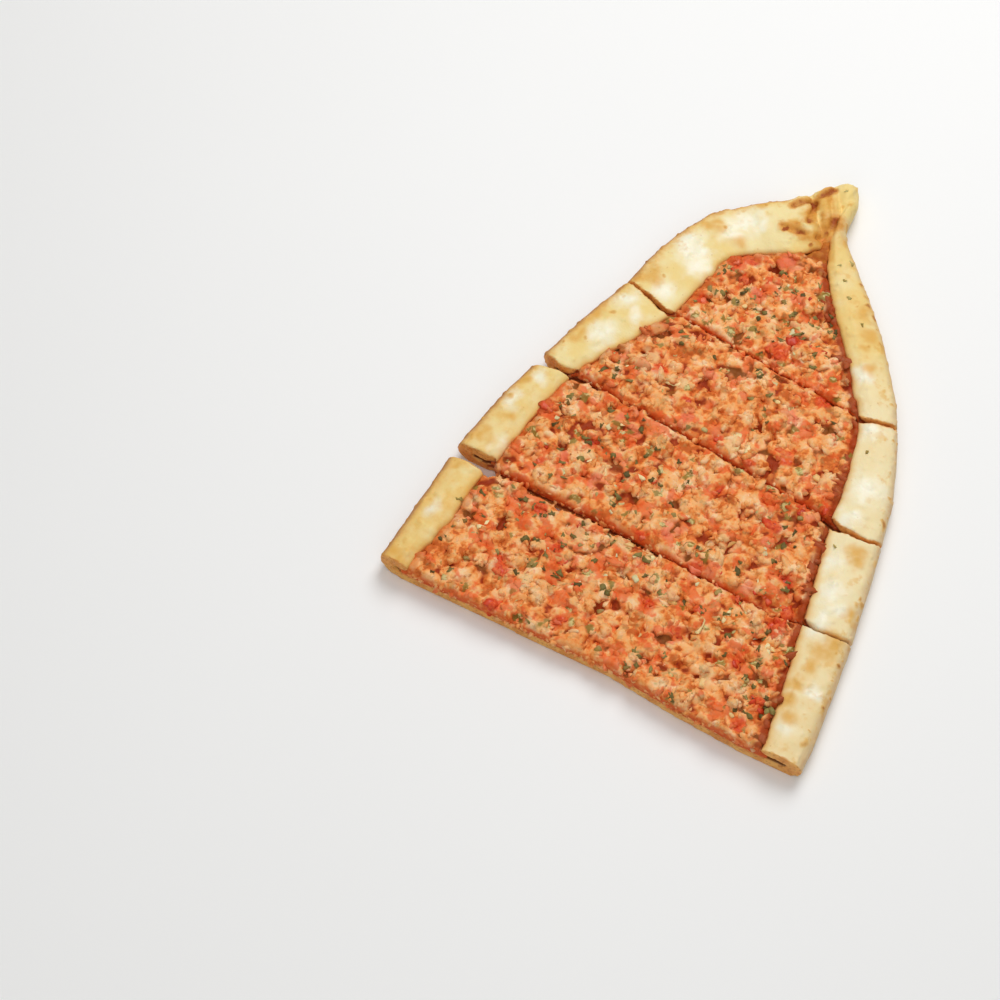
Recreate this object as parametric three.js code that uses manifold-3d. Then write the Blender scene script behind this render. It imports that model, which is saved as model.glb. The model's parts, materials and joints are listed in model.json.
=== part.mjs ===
// Half of a minced-meat pide, cut into four slices. The bread is a thin boat-shaped sheet whose edges are
// folded in over the topping, and the two folds meet in a pinched, twisted point.
// Millimetres, +Z up. The slices lie on z = 0, the pinched point is towards +Y and the cut end towards -Y.
import * as THREE from "three";
import { mergeVertices } from "three/addons/utils/BufferGeometryUtils.js";
import Module from "manifold-3d";

const wasm = await Module();
wasm.setup();

// ---- driving dimensions: the bread ----
const BASE = 3.4; // thickness of the bread under the topping
const BASE_INSET = 2.5; // the base sheet ends this far inside the outer walls
const RIM_TOP = 9.2; // height of the folded rim
const RIM_WAVE = 0.7; // how far that height rises and falls
const RIM_WAVE_LENGTH = 17;
const WALL = 4.6; // depth of the rounded outer wall, from its widest point inwards
const FLAP = 3.0; // thickness of the dough that is folded in
const CROWN = 0.5; // how far the middle of the flap bulges
const LIP_DROP = 0.5; // how far the flap's free edge lies below its top
const LIP_WAVER = 0.7; // how far that free edge wanders
const LIP_WAVER_LENGTH = 8;
const FOLD_END = 5.2; // distance from the outer edge to the closed end of the fold
const FOLD_ROUND = 1.0; // depth of the rounding at that closed end
const FOLD_DROOP = 0.2; // how far the flap's underside sinks towards the closed end
const FOOT_SINK = 0.4; // how far the fold's foot lies inside the base sheet
const LEAST_FOLD = 0.2; // the fold closes no nearer than this to the outer wall

// ---- driving dimensions: the topping ----
const TUCK = 2.6; // how far the topping runs in under the flap
const GAP = 0.35; // air between the topping and the bread
const FILL_TOP = 5.9; // height of the topping between its crumbs
const FILL_WAVE = 0.5; // how far that height rises and falls
const FILL_WAVE_LENGTH = 14;
const CRUMB = 4.3; // spacing of the crumbs that stand up from the topping
const CRUMB_RISE = 2.7; // height of the tallest crumb
const GRID = 2.55; // spacing of the points of the topping's surface
const CHUNKS = 76; // diced tomato and pepper and big lumps of mince that stand proud
const CHUNK_SMALLEST = 1.8; // radius of the smallest of these
const CHUNK_LARGEST = 3.3;
const CHUNK_LIFT = 1.1; // how far their middles lie above the topping between its crumbs

// ---- driving dimensions: working limits ----
const SKY = 30; // anything above the food
const FINEST = 0.06; // detail under this size is smoothed away
const SAME_POINT = 1e-4; // corners closer than this are one

// The course of each folded rim from the cut end to the point: outer edge x, y, then free edge x, y.
const LEFT_RIM = [
  [-71.6, -14, -61.6, -14],
  [-71.4, 4, -60.4, 3],
  [-70.4, 24, -57.6, 23],
  [-69.4, 45, -55.2, 44],
  [-66.0, 68, -52.0, 66],
  [-60.8, 89, -47.6, 87],
  [-55.4, 110, -38.4, 105],
  [-49.0, 130, -29.6, 124],
  [-45.0, 147, -25.0, 141],
  [-37.4, 165, -22.2, 153],
  [-26.8, 176.6, -12.6, 160.4],
  [-16.6, 184.4, -2.8, 165.0],
  [-9.4, 191, 3.8, 171.6],
  [-3.6, 198.2, 4.4, 185],
  [0.6, 201.2, 4.8, 195],
  [2.6, 201.9, 4.8, 199.6],
];
const RIGHT_RIM = [
  [73.0, -14, 59.0, -14],
  [72.0, 6, 57.8, 5],
  [70.6, 26, 55.4, 25],
  [68.6, 46, 52.6, 44],
  [65.6, 68, 48.2, 66],
  [61.4, 92, 45.6, 89],
  [54.0, 114.6, 42.0, 110],
  [44.0, 134.4, 32.2, 128],
  [31.0, 152.8, 21.0, 143.4],
  [16.8, 170.2, 10.2, 159],
  [8.6, 179.6, 5.4, 172],
  [7.2, 186, 3.6, 183],
  [7.4, 192.4, 3.4, 191.6],
  [5.6, 199.4, 2.6, 197.4],
];
// Each slice lies between its lower and its upper cut, both as [x, y] knees from west to east. The knife
// pushed the soft rims aside, so the cuts bend there.
const SLICES = [
  {
    name: "point",
    lower: [
      ...[[-80, 133.6], [-47.6, 129.6], [-41.7, 127.3], [-38.9, 126.6], [-35.3, 125.1], [-31.9, 124.2]],
      ...[[-28.5, 124.6], [-26, 125.2], [-12, 123.4], [34, 117], [39.5, 114.9], [43, 114.8]],
      ...[[48, 115.9], [52, 117.6], [80, 116.6]],
    ],
    upper: [[-80, 230], [80, 230]],
  },
  {
    name: "second",
    lower: [
      ...[[-80, 92.6], [-60, 91], [-56, 89.7], [-52.8, 88.2], [-50, 88.1], [-47.5, 89.8], [-42, 88.9]],
      ...[[0, 83.8], [43, 77.8], [47.3, 76.6], [50.7, 74.9], [54.2, 74.4], [58, 74.1], [60.5, 74.4]],
      ...[[64, 76.2], [80, 80]],
    ],
    upper: [
      ...[[-80, 132.8], [-46.6, 128.7], [-41.6, 126.5], [-38.9, 125.3], [-36.1, 124], [-33.5, 123]],
      ...[[-30.5, 122.8], [-26, 124.2], [36, 115.8], [41.5, 113], [45.5, 114.3], [49.7, 115.3]],
      ...[[53, 116.9], [80, 115.8]],
    ],
  },
  {
    name: "third",
    lower: [
      ...[[-80, 47.8], [-66, 47.9], [-58, 47.4], [-55.5, 48.2], [-54.2, 46.2], [-46, 45.4], [-26, 44.8]],
      ...[[0, 43], [45, 38.8], [53.5, 41], [58.3, 39.2], [62, 39.6], [65.5, 39.9], [69.5, 41.3], [80, 44]],
    ],
    upper: [
      ...[[-80, 85.4], [-60, 85.9], [-53.3, 86.5], [-49.7, 86.8], [-42, 87.1], [0, 82.5], [42, 76.6]],
      ...[[45, 74.2], [49, 73.3], [53.6, 73.4], [57.2, 73.4], [60.5, 73.8], [64, 75.5], [80, 79.3]],
    ],
  },
  {
    name: "end",
    lower: [[-80, 3.2], [-64, 0.8], [8, 0], [30, -2.6], [52, -4.2], [80, -4.2]],
    upper: [
      ...[[-80, 42.8], [-64, 43.2], [-57, 42.4], [-54.6, 41.4], [-52.5, 43.3], [-46, 43.5], [-36, 42.1]],
      ...[[-16, 41.6], [0, 41.2], [45, 37.8], [52.5, 39.6], [58.3, 38.6], [62, 39], [65.5, 39.3]],
      ...[[69.5, 40.6], [80, 43.3]],
    ],
  },
];
// Creases across the left rim near the point: where each lies, as a share of the rim's course, and its depth.
const PLEATS = [[0.66, 0.8], [0.74, 1.2], [0.8, 2.4], [0.87, 2.4]];
const PLEAT_WIDTH = 0.018; // half the width of a crease, as a share of the course
const TWIST_START = 0.7; // share of a rim's course where the fold starts to close
const TWIST_LENGTH = 0.12; // share of the course over which it closes
const TAPER_START = 0.9; // share of the course where the rim starts to run out low
const TAPER_DROP = 0.3; // share of its height that it has lost at its end

// ---- repeatable unevenness ----
// Each kind of unevenness draws from its own series.
const SERIES = {
  lumpX: 1,
  lumpY: 2,
  lumpReach: 3,
  lumpRise: 4,
  rim: 5,
  fill: 6,
  gridX: 7,
  gridY: 8,
  chunk: 9,
  lip: 11,
};

function chance(i, j, series = 0) {
  const s = Math.sin(i * 127.1 + j * 311.7 + series * 74.7) * 43758.5453;
  return s - Math.floor(s);
}

function ease(t) {
  return t * t * (3 - 2 * t);
}

// Soft hills from -1 to 1, one about every `size` millimetres.
function hills(x, y, size, series) {
  const i = Math.floor(x / size);
  const j = Math.floor(y / size);
  const u = ease(x / size - i);
  const v = ease(y / size - j);
  const near = chance(i, j, series) * (1 - u) + chance(i + 1, j, series) * u;
  const far = chance(i, j + 1, series) * (1 - u) + chance(i + 1, j + 1, series) * u;
  return 2 * (near * (1 - v) + far * v) - 1;
}

const LUMP_REACH = [0.55, 0.85]; // smallest and largest radius of a lump, as shares of its cell
const LUMP_RISE = [0.45, 1]; // lowest and highest lump

function within([low, high], share) {
  return low + (high - low) * share;
}

// Rounded lumps from 0 to 1, one in each cell of `size` millimetres.
function lumps(x, y, size) {
  let best = 0;
  const column = Math.floor(x / size);
  const row = Math.floor(y / size);
  for (let i = column - 1; i <= column + 1; i++) {
    for (let j = row - 1; j <= row + 1; j++) {
      const dx = x / size - (i + chance(i, j, SERIES.lumpX));
      const dy = y / size - (j + chance(i, j, SERIES.lumpY));
      const reach = within(LUMP_REACH, chance(i, j, SERIES.lumpReach));
      const dome = Math.sqrt(Math.max(0, 1 - (dx * dx + dy * dy) / (reach * reach)));
      best = Math.max(best, dome * within(LUMP_RISE, chance(i, j, SERIES.lumpRise)));
    }
  }
  return best;
}

// ---- solids ----
function toSolid(geometry) {
  const bare = geometry.index ? geometry.toNonIndexed() : geometry.clone();
  for (const name of Object.keys(bare.attributes)) {
    if (name !== "position") bare.deleteAttribute(name);
  }
  const merged = mergeVertices(bare, SAME_POINT);
  const vertProperties = new Float32Array(merged.attributes.position.array);
  const triVerts = new Uint32Array(merged.index.array);
  const solid = new wasm.Manifold(new wasm.Mesh({ numProp: 3, vertProperties, triVerts }));
  if (solid.volume() > 0) return solid;
  return new wasm.Manifold(new wasm.Mesh({ numProp: 3, vertProperties, triVerts: triVerts.reverse() }));
}

function toGeometry(solid) {
  const mesh = solid.getMesh();
  const geometry = new THREE.BufferGeometry();
  geometry.setAttribute("position", new THREE.BufferAttribute(mesh.vertProperties, 3));
  geometry.setIndex(new THREE.BufferAttribute(mesh.triVerts, 1));
  geometry.computeVertexNormals();
  return geometry;
}

// A closed solid swept through stations. A station has the point of the rim's outer edge, the direction
// inwards and a section: a closed outline of [distance inwards, height], with the same count of points.
function sweep(stations) {
  const count = stations[0].section.length;
  const positions = stations.flatMap(({ edge, inward, section }) =>
    section.flatMap(([u, z]) => [edge.x + inward.x * u, edge.y + inward.y * u, z]),
  );
  const triangles = [];
  for (let station = 0; station < stations.length - 1; station++) {
    for (let k = 0; k < count; k++) {
      const a = station * count + k;
      const b = station * count + ((k + 1) % count);
      triangles.push(a, a + count, b, b, a + count, b + count);
    }
  }
  const last = stations.length - 1;
  for (const [station, turned] of [[0, false], [last, true]]) {
    const first = station * count;
    const outline = stations[station].section.map(([u, z]) => new THREE.Vector2(u, z));
    for (const [a, b, c] of THREE.ShapeUtils.triangulateShape(outline, [])) {
      triangles.push(first + a, first + (turned ? c : b), first + (turned ? b : c));
    }
  }
  const geometry = new THREE.BufferGeometry();
  geometry.setAttribute("position", new THREE.Float32BufferAttribute(positions, 3));
  geometry.setIndex(triangles);
  return toSolid(geometry);
}

// An upright prism over a closed plan outline of [x, y] points.
function prism(outline, bottom, top) {
  const shape = new THREE.Shape(outline.map(([x, y]) => new THREE.Vector2(x, y)));
  const geometry = new THREE.ExtrudeGeometry(shape, { depth: top - bottom, bevelEnabled: false });
  return toSolid(geometry.translate(0, 0, bottom));
}

// ---- the folded rims ----
const STEPS = 4; // stations from one row of a rim's course to the next

// Points along a rim: where its outer edge and free edge lie, and its share t of the whole course.
function course(rows) {
  const outer = new THREE.CatmullRomCurve3(rows.map(([x, y]) => new THREE.Vector3(x, y, 0)));
  const inner = new THREE.CatmullRomCurve3(rows.map(([, , x, y]) => new THREE.Vector3(x, y, 0)));
  const count = (rows.length - 1) * STEPS;
  return Array.from({ length: count + 1 }, (_, k) => {
    const t = k / count;
    const edge = outer.getPoint(t);
    const across = inner.getPoint(t).sub(edge);
    const width = across.length() + LIP_WAVER * hills(edge.x, edge.y, LIP_WAVER_LENGTH, SERIES.lip);
    return { t, edge, width, inward: across.normalize() };
  });
}

function arc(u, z, ru, rz, from, to, steps) {
  return Array.from({ length: steps + 1 }, (_, k) => {
    const angle = THREE.MathUtils.degToRad(from + ((to - from) * k) / steps);
    return [u + ru * Math.cos(angle), z + rz * Math.sin(angle)];
  });
}

// The hook-shaped section of a folded rim: a rounded outer wall, the flap folded in over it and the
// narrow fold left open under the flap. `grow` thickens it all round, for the air to the topping.
function hook(width, top, foldEnd, grow = 0) {
  const depth = Math.min(WALL, 0.45 * width);
  const flap = Math.min(FLAP, 0.5 * width);
  const wall = arc(depth, top / 2, depth, top / 2, -90, -270, 6);
  const lipRadius = flap / 2 + grow;
  const lip = arc(width - flap / 2, top - LIP_DROP - flap / 2, lipRadius, lipRadius, 80, -90, 4);
  const under = top - flap - LIP_DROP - grow;
  const end = Math.max(depth + LEAST_FOLD, Math.min(foldEnd, width - flap)) + grow;
  return [
    [end + FOLD_ROUND, 0],
    ...wall,
    [(depth + width) / 2, top + CROWN + grow],
    ...lip,
    [end + FOLD_ROUND, under - FOLD_DROOP],
    [end, (under + BASE) / 2],
    [end + FOLD_ROUND, BASE - FOOT_SINK],
  ].reverse();
}

// How high the rim stands at a point of its course: uneven, creased near the point and low at its end.
function rimTop({ t, edge }, pleats) {
  const crease = Math.max(0, ...pleats.map(([at, depth]) => depth * (1 - Math.abs(t - at) / PLEAT_WIDTH)));
  const taper = ease(Math.max(0, (t - TAPER_START) / (1 - TAPER_START)));
  const wave = RIM_WAVE * hills(edge.x, edge.y, RIM_WAVE_LENGTH, SERIES.rim);
  return RIM_TOP * (1 - TAPER_DROP * taper) + wave - crease;
}

function rim(rows, pleats, grow = 0) {
  return sweep(
    course(rows).map((station) => {
      const closing = ease(THREE.MathUtils.clamp((station.t - TWIST_START) / TWIST_LENGTH, 0, 1));
      const foldEnd = FOLD_END + (station.width - FOLD_END) * closing;
      return { ...station, section: hook(station.width, rimTop(station, pleats), foldEnd, grow) };
    }),
  );
}

// All that lies further out than the topping reaches in under a rim's free edge.
function beyondTuck(rows) {
  return sweep(
    course(rows).map((station) => {
      const reach = Math.max(1, station.width - TUCK);
      return { ...station, section: [[-SKY, -1], [reach, -1], [reach, SKY], [-SKY, SKY]] };
    }),
  );
}

// ---- the bread ----
function baseSheet() {
  const inset = ({ edge, inward }) => [edge.x + inward.x * BASE_INSET, edge.y + inward.y * BASE_INSET];
  const left = course(LEFT_RIM).slice(0, -STEPS).map(inset);
  const right = course(RIGHT_RIM).slice(0, -STEPS).map(inset);
  return prism([...right, ...left.reverse()], 0, BASE);
}

const bread = baseSheet().add(rim(LEFT_RIM, PLEATS)).add(rim(RIGHT_RIM, []));

// ---- the topping ----
// The block that the topping is cut from covers all of the bread.
const WEST = -72;
const EAST = 72;
const SOUTH = -16;
const NORTH = 178;

function toppingHeight(x, y) {
  const wave = FILL_WAVE * hills(x, y, FILL_WAVE_LENGTH, SERIES.fill);
  return FILL_TOP + wave + CRUMB_RISE * lumps(x, y, CRUMB);
}

// The topping as a block with an uneven upper side, before it is cut to the bread. Its points lie in
// staggered rows, each moved by up to a quarter of the spacing.
function toppingBlock() {
  const columns = Math.round((EAST - WEST) / GRID);
  const rows = Math.round((NORTH - SOUTH) / GRID);
  const wide = columns + 1;
  const top = [];
  for (let j = 0; j <= rows; j++) {
    for (let i = 0; i <= columns; i++) {
      const x = WEST + GRID * (i + 0.5 * (chance(i, j, SERIES.gridX) - 0.5) + 0.5 * (j % 2));
      const y = SOUTH + GRID * (j + 0.5 * (chance(i, j, SERIES.gridY) - 0.5));
      top.push(new THREE.Vector3(x, y, toppingHeight(x, y)));
    }
  }
  const triangles = [];
  for (let j = 0; j < rows; j++) {
    for (let i = 0; i < columns; i++) {
      const [a, b, c, d] = [j * wide + i, j * wide + i + 1, (j + 1) * wide + i + 1, (j + 1) * wide + i];
      triangles.push(...(j % 2 ? [a, b, c, a, c, d] : [a, b, d, b, c, d]));
    }
  }
  const border = [];
  for (let i = 0; i < columns; i++) border.push(i);
  for (let j = 0; j < rows; j++) border.push(j * wide + columns);
  for (let i = columns; i > 0; i--) border.push(rows * wide + i);
  for (let j = rows; j > 0; j--) border.push(j * wide);
  const floor = border.map((k) => new THREE.Vector3(top[k].x, top[k].y, BASE + GAP));
  const outline = floor.map((p) => new THREE.Vector2(p.x, p.y));
  for (const [a, b, c] of THREE.ShapeUtils.triangulateShape(outline, [])) {
    triangles.push(top.length + a, top.length + c, top.length + b);
  }
  border.forEach((a, k) => {
    const next = (k + 1) % border.length;
    const [under, underNext] = [top.length + k, top.length + next];
    triangles.push(a, under, border[next], border[next], under, underNext);
  });
  const geometry = new THREE.BufferGeometry().setFromPoints([...top, ...floor]);
  geometry.setIndex(triangles);
  return toSolid(geometry);
}

const CHUNK_LENGTH = [1.3, 0.8]; // a chunk's length as a share of its width
const CHUNK_HEIGHT = [0.62, 0.82]; // and its height
const CHUNK_TILT = 0.35; // how far one leans at most, in radians

// A diced piece that lies half sunk in the topping.
function chunk(k) {
  const draw = (j) => chance(k, j, SERIES.chunk);
  const [x, y] = [within([WEST, EAST], draw(1)), within([SOUTH, NORTH], draw(2))];
  const geometry = new THREE.IcosahedronGeometry(within([CHUNK_SMALLEST, CHUNK_LARGEST], draw(3)), 0);
  geometry.scale(within(CHUNK_LENGTH, draw(4)), 1, within(CHUNK_HEIGHT, draw(5)));
  geometry.rotateX(within([-CHUNK_TILT, CHUNK_TILT], draw(6)));
  geometry.rotateZ(Math.PI * draw(7));
  return toSolid(geometry.translate(x, y, FILL_TOP + CHUNK_LIFT));
}

function topping() {
  const pieces = Array.from({ length: CHUNKS }, (_, k) => chunk(k));
  let heap = wasm.Manifold.union([toppingBlock(), ...pieces]);
  for (const [rows, pleats] of [[LEFT_RIM, PLEATS], [RIGHT_RIM, []]]) {
    heap = heap.subtract(beyondTuck(rows)).subtract(rim(rows, pleats, GAP));
  }
  return heap;
}

const filling = topping();

// ---- the slices ----
// The space between a slice's two cuts, wider and higher than the food.
function between({ lower, upper }) {
  return prism([...lower, ...upper.toReversed()], -1, SKY);
}

// The one outer skin of a slice's layer: scraps that the cuts leave loose fall away, and a pocket that is
// shut in under a chunk is filled.
function largestBody(solid) {
  return solid.decompose().reduce((best, body) => (body.volume() > best.volume() ? body : best));
}

const crust = new THREE.MeshStandardMaterial({ name: "crust", color: 0xefd491, roughness: 0.55 });
const mince = new THREE.MeshStandardMaterial({ name: "mince", color: 0xc97043, roughness: 0.5 });
const LAYERS = [
  ["bread", bread, crust],
  ["topping", filling, mince],
];

const food = new THREE.Group();
for (const slice of SLICES) {
  const region = between(slice);
  const group = new THREE.Group();
  group.position.y = (slice.lower[0][1] + slice.lower.at(-1)[1]) / 2;
  for (const [layer, whole, material] of LAYERS) {
    const body = largestBody(whole.intersect(region).simplify(FINEST));
    const geometry = toGeometry(body).translate(0, -group.position.y, 0);
    const mesh = new THREE.Mesh(geometry, material);
    mesh.name = `${layer}_${slice.name}`;
    group.add(mesh);
  }
  food.add(group);
}

// The origin is the middle of the underside.
const middle = new THREE.Box3().setFromObject(food).getCenter(new THREE.Vector3());
food.position.set(-middle.x, -middle.y, 0);

const pide = new THREE.Group();
pide.add(food);
pide.updateMatrixWorld(true);

export default pide;
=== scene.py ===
# %% [markdown]
# # Half of a minced-meat pide, cut into four slices
#
# A pide is a long flat bread, shaped like a boat. Its edges are folded in over a thin layer of minced
# meat with tomato, pepper, onion and parsley, and at each end the two folds are pinched together to a
# point. This half lies flat, cut crosswise into four slices. The bread's and the topping's true shapes
# come with the frame, one body for each slice. This lesson gives them their surface: a baked, blistered
# crust and a crumbly, oily topping.

# %% Load the frame
import itertools
import json
import math

import bpy
import numpy as np
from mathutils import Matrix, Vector
from mathutils.bvhtree import BVHTree

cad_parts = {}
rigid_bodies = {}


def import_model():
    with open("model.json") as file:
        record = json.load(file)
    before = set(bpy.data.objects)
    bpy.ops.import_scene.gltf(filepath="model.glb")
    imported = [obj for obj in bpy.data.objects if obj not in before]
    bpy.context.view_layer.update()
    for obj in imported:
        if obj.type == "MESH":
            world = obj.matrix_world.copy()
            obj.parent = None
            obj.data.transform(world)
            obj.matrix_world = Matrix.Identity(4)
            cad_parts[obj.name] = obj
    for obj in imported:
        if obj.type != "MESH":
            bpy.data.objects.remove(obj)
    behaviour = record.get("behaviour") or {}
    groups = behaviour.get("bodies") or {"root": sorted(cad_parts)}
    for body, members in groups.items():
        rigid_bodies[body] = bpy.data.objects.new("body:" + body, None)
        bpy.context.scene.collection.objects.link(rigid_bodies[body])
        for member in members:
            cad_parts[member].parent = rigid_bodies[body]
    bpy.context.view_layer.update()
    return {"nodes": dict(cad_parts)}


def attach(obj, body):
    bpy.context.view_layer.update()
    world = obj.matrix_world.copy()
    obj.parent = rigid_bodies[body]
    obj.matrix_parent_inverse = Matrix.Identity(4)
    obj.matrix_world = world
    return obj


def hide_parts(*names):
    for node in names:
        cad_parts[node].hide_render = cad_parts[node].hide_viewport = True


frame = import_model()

MM = 0.001  # the scene is in metres, and sizes below are in millimetres
SLICES = ["point", "second", "third", "end"]

# %% [markdown]
# ## Where the eye is
#
# Food like this is looked at from above, sitting at the table. The camera stands 60 degrees up and
# turned a little to the right of the cut end. Its lens follows from the width of what it sees, so that
# one number changes the framing and another the distance.

# %% Camera
AZIMUTH = math.radians(27.37)
ELEVATION = math.radians(60)
DISTANCE = 700
SEEN_WIDTH = 314.5
LOOK_AT = Vector((-49.84, -59.10, 0))
SENSOR = 36


def around(azimuth, elevation, distance):
    """The way from what is looked at to a place round it."""
    level = math.cos(elevation) * distance
    return Vector((math.sin(azimuth) * level, -math.cos(azimuth) * level, math.sin(elevation) * distance))


def aim(thing, place, target):
    """Puts a camera or a lamp at a place and turns it to its target."""
    thing.location = place * MM
    thing.rotation_euler = (target - place).to_track_quat("-Z", "Y").to_euler()


bpy.ops.object.camera_add()
camera = bpy.context.object
camera.data.sensor_width = SENSOR
camera.data.lens = SENSOR * DISTANCE / SEEN_WIDTH
camera.data.clip_start = 10 * MM
aim(camera, LOOK_AT + around(AZIMUTH, ELEVATION, DISTANCE), LOOK_AT)
bpy.context.scene.camera = camera
print("lens:", round(camera.data.lens, 2), "mm")

# %% [markdown]
# ## Light and floor
#
# A window behind the food and a pale wall in front of it is the light most food is shown in: the oil
# glistens towards the eye, and the shadows stay soft. Three wide lamps and a pale room make it. Each is
# given the share of the light that it brings to the floor, and its power follows, so the shares add up
# to a rightly lit picture.

# %% Lamps
MIDDLE = Vector((0, -10, 5))
# Each lamp: its turn from the camera, its height as an angle, its distance, its width, and its share.
LAMPS = [
    ("window", math.radians(158), math.radians(56), 900, 620, 0.50),
    ("overhead", math.radians(-70), math.radians(78), 900, 800, 0.20),
    ("wall", math.radians(-12), math.radians(40), 1000, 900, 0.12),
]
ROOM_SHARE = 0.22


def lamp_power(share, distance, height):
    """The watts with which a lamp lights a white floor to the given share of white."""
    return share * (math.pi * distance * MM) ** 2 / math.sin(height)


for name, turn, height, distance, width, share in LAMPS:
    bpy.ops.object.light_add(type="AREA")
    lamp = bpy.context.object
    lamp.name = name
    lamp.data.shape = "DISK"
    lamp.data.size = width * MM
    lamp.data.energy = lamp_power(share, distance, height)
    aim(lamp, MIDDLE + around(AZIMUTH + turn, height, distance), MIDDLE)
    print(name, round(lamp.data.energy, 2), "W")

world = bpy.data.worlds.new("room")
world.use_nodes = True
world.node_tree.nodes["Background"].inputs["Color"].default_value = (1.0, 0.99, 0.97, 1)
world.node_tree.nodes["Background"].inputs["Strength"].default_value = ROOM_SHARE
bpy.context.scene.world = world
bpy.context.scene.view_settings.view_transform = "Standard"

# %% [markdown]
# The food lies on a plain floor that runs far past the edges of what is seen. It is there to catch the
# shadows, and is no part of the food, so it is given to the stage.

# %% Floor
FLOOR_WIDTH = 6000
bpy.ops.mesh.primitive_plane_add(size=FLOOR_WIDTH * MM)
floor = bpy.context.object
floor.name = "floor"
print("floor:", FLOOR_WIDTH, "mm wide")

# %% [markdown]
# ## Helpers for working on meshes
#
# Operators act on all that is selected, so each piece is selected alone before one runs. Point
# positions are read as one array in millimetres, changed by plain arithmetic and written back, which is
# how a surface with a hundred thousand points is shaped in a moment.

# %% Helpers for meshes
def only(piece):
    """Selects one piece and nothing else."""
    bpy.ops.object.select_all(action="DESELECT")
    piece.select_set(True)
    bpy.context.view_layer.objects.active = piece


def apply_modifier(piece, kind, **settings):
    """Gives a piece one modifier with its settings, and makes its result the mesh."""
    only(piece)
    modifier = piece.modifiers.new(kind.title(), kind)
    for name, value in settings.items():
        setattr(modifier, name, value)
    bpy.ops.object.modifier_apply(modifier=modifier.name)


def copy_of(node, name):
    """A piece with a merged copy of a node's mesh."""
    piece = bpy.data.objects.new(name, frame["nodes"][node].data.copy())
    bpy.context.scene.collection.objects.link(piece)
    piece.data.materials.clear()
    only(piece)
    bpy.ops.object.mode_set(mode="EDIT")
    bpy.ops.mesh.select_all(action="SELECT")
    bpy.ops.mesh.remove_doubles(threshold=0.005 * MM)
    bpy.ops.object.mode_set(mode="OBJECT")
    return piece


def read(items, name, width=3):
    """One value of all vertices, faces or other items, as an array with a row for each."""
    values = np.empty(len(items) * width, np.float32)
    items.foreach_get(name, values)
    return values.reshape(-1, width).astype(float)


def points_of(piece):
    return read(piece.data.vertices, "co") / MM


def directions_of(piece):
    return read(piece.data.vertex_normals, "vector")


def move_points(piece, points):
    piece.data.vertices.foreach_set("co", (points * MM).astype(np.float32).ravel())
    piece.data.update()


def paint(piece, marks):
    """Stores numbers with a piece's points, which the finish reads by name, and smooths its shading."""
    for name, values in marks.items():
        layer = piece.data.attributes.new(name, "FLOAT", "POINT")
        layer.data.foreach_set("value", np.asarray(values, np.float32))
    only(piece)
    bpy.ops.object.shade_smooth()


# %% [markdown]
# ## Unevenness
#
# Baked food has no straight line in it. Two kinds of unevenness are enough: soft hills, for dough that
# has puffed up, and rounded lumps, for crumbs that are pressed together. Both are worked out from a
# point's place alone, so they are the same at each run.

# %% Unevenness
def drawn(cells, series):
    """A number from 0 to 1 for each cell of space, always the same one."""
    waves = np.sin(cells @ np.array([127.1, 311.7, 74.7]) + 53.3 * series) * 43758.5453
    return waves - np.floor(waves)


def rise(values, low, high):
    """0 at low, 1 at high and a soft step between them."""
    share = np.clip((values - low) / (high - low), 0, 1)
    return share * share * (3 - 2 * share)


def hills(points, size, series):
    """Soft hills from -1 to 1, about one every size millimetres."""
    corner = np.floor(points / size)
    share = points / size - corner
    share = share * share * (3 - 2 * share)
    total = np.zeros(len(points))
    for step in itertools.product((0, 1), repeat=3):
        weight = np.prod(np.where(step, share, 1 - share), axis=1)
        total += weight * drawn(corner + step, series)
    return 2 * total - 1


def lumps(points, size, series):
    """Rounded lumps, about one every size millimetres: 1 on top, 0 between them, and a number for each."""
    corner = np.floor(points / size)
    nearest = np.full(len(points), 9.0)
    number = np.zeros(len(points))
    for step in itertools.product((-1, 0, 1), repeat=3):
        cell = corner + step
        middle = cell + np.stack([drawn(cell, series + k) for k in range(3)], axis=1)
        away = np.linalg.norm(points / size - middle, axis=1)
        number = np.where(away < nearest, drawn(cell, series + 3), number)
        nearest = np.minimum(nearest, away)
    return 1 - np.clip(nearest, 0, 1) ** 2, number


def crumpled(points, size, amount, series):
    """The places with their surroundings pushed about, which makes straight borders ragged."""
    return points + amount * np.stack([hills(points, size, series + k) for k in range(3)], axis=1)


ROW = np.array([[x, 0.0, 0.0] for x in range(0, 12, 2)])
print("hills every 2 mm:", hills(ROW, 4, 1).round(2), "lumps:", lumps(ROW, 4, 1)[0].round(2))

# %% [markdown]
# ## Reading the frame's solids
#
# The knife's faces look different from the baked crust, and the crust is darkest where it faced the
# oven's heat. Both are found on the frame's own solids. So here each node's faces are read, and put in a
# tree that tells how far any place is from them.

# %% Faces of a node
def faces_of(node):
    """The middle and direction of each of a node's faces, and the numbers of its corners."""
    faces = frame["nodes"][node].data.polygons
    return read(faces, "center") / MM, read(faces, "normal"), [tuple(face.vertices) for face in faces]


def tree_of(node, chosen=None):
    """A node's faces, or the chosen ones, ready to measure distances to."""
    corners = [tuple(vertex.co / MM) for vertex in frame["nodes"][node].data.vertices]
    faces = faces_of(node)[2]
    if chosen is not None:
        faces = [faces[k] for k in np.flatnonzero(chosen)]
    return BVHTree.FromPolygons(corners, faces)


def distance_to(tree, points, most=40):
    return np.array([tree.find_nearest(point, most)[3] or most for point in map(Vector, points)])


BREAD_TREES = {name: tree_of(f"bread_{name}") for name in SLICES}
TOPPING_TREES = {name: tree_of(f"topping_{name}") for name in SLICES}
print("faces of the solids:", {node: len(faces_of(node)[2]) for node in frame["nodes"]})

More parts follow.
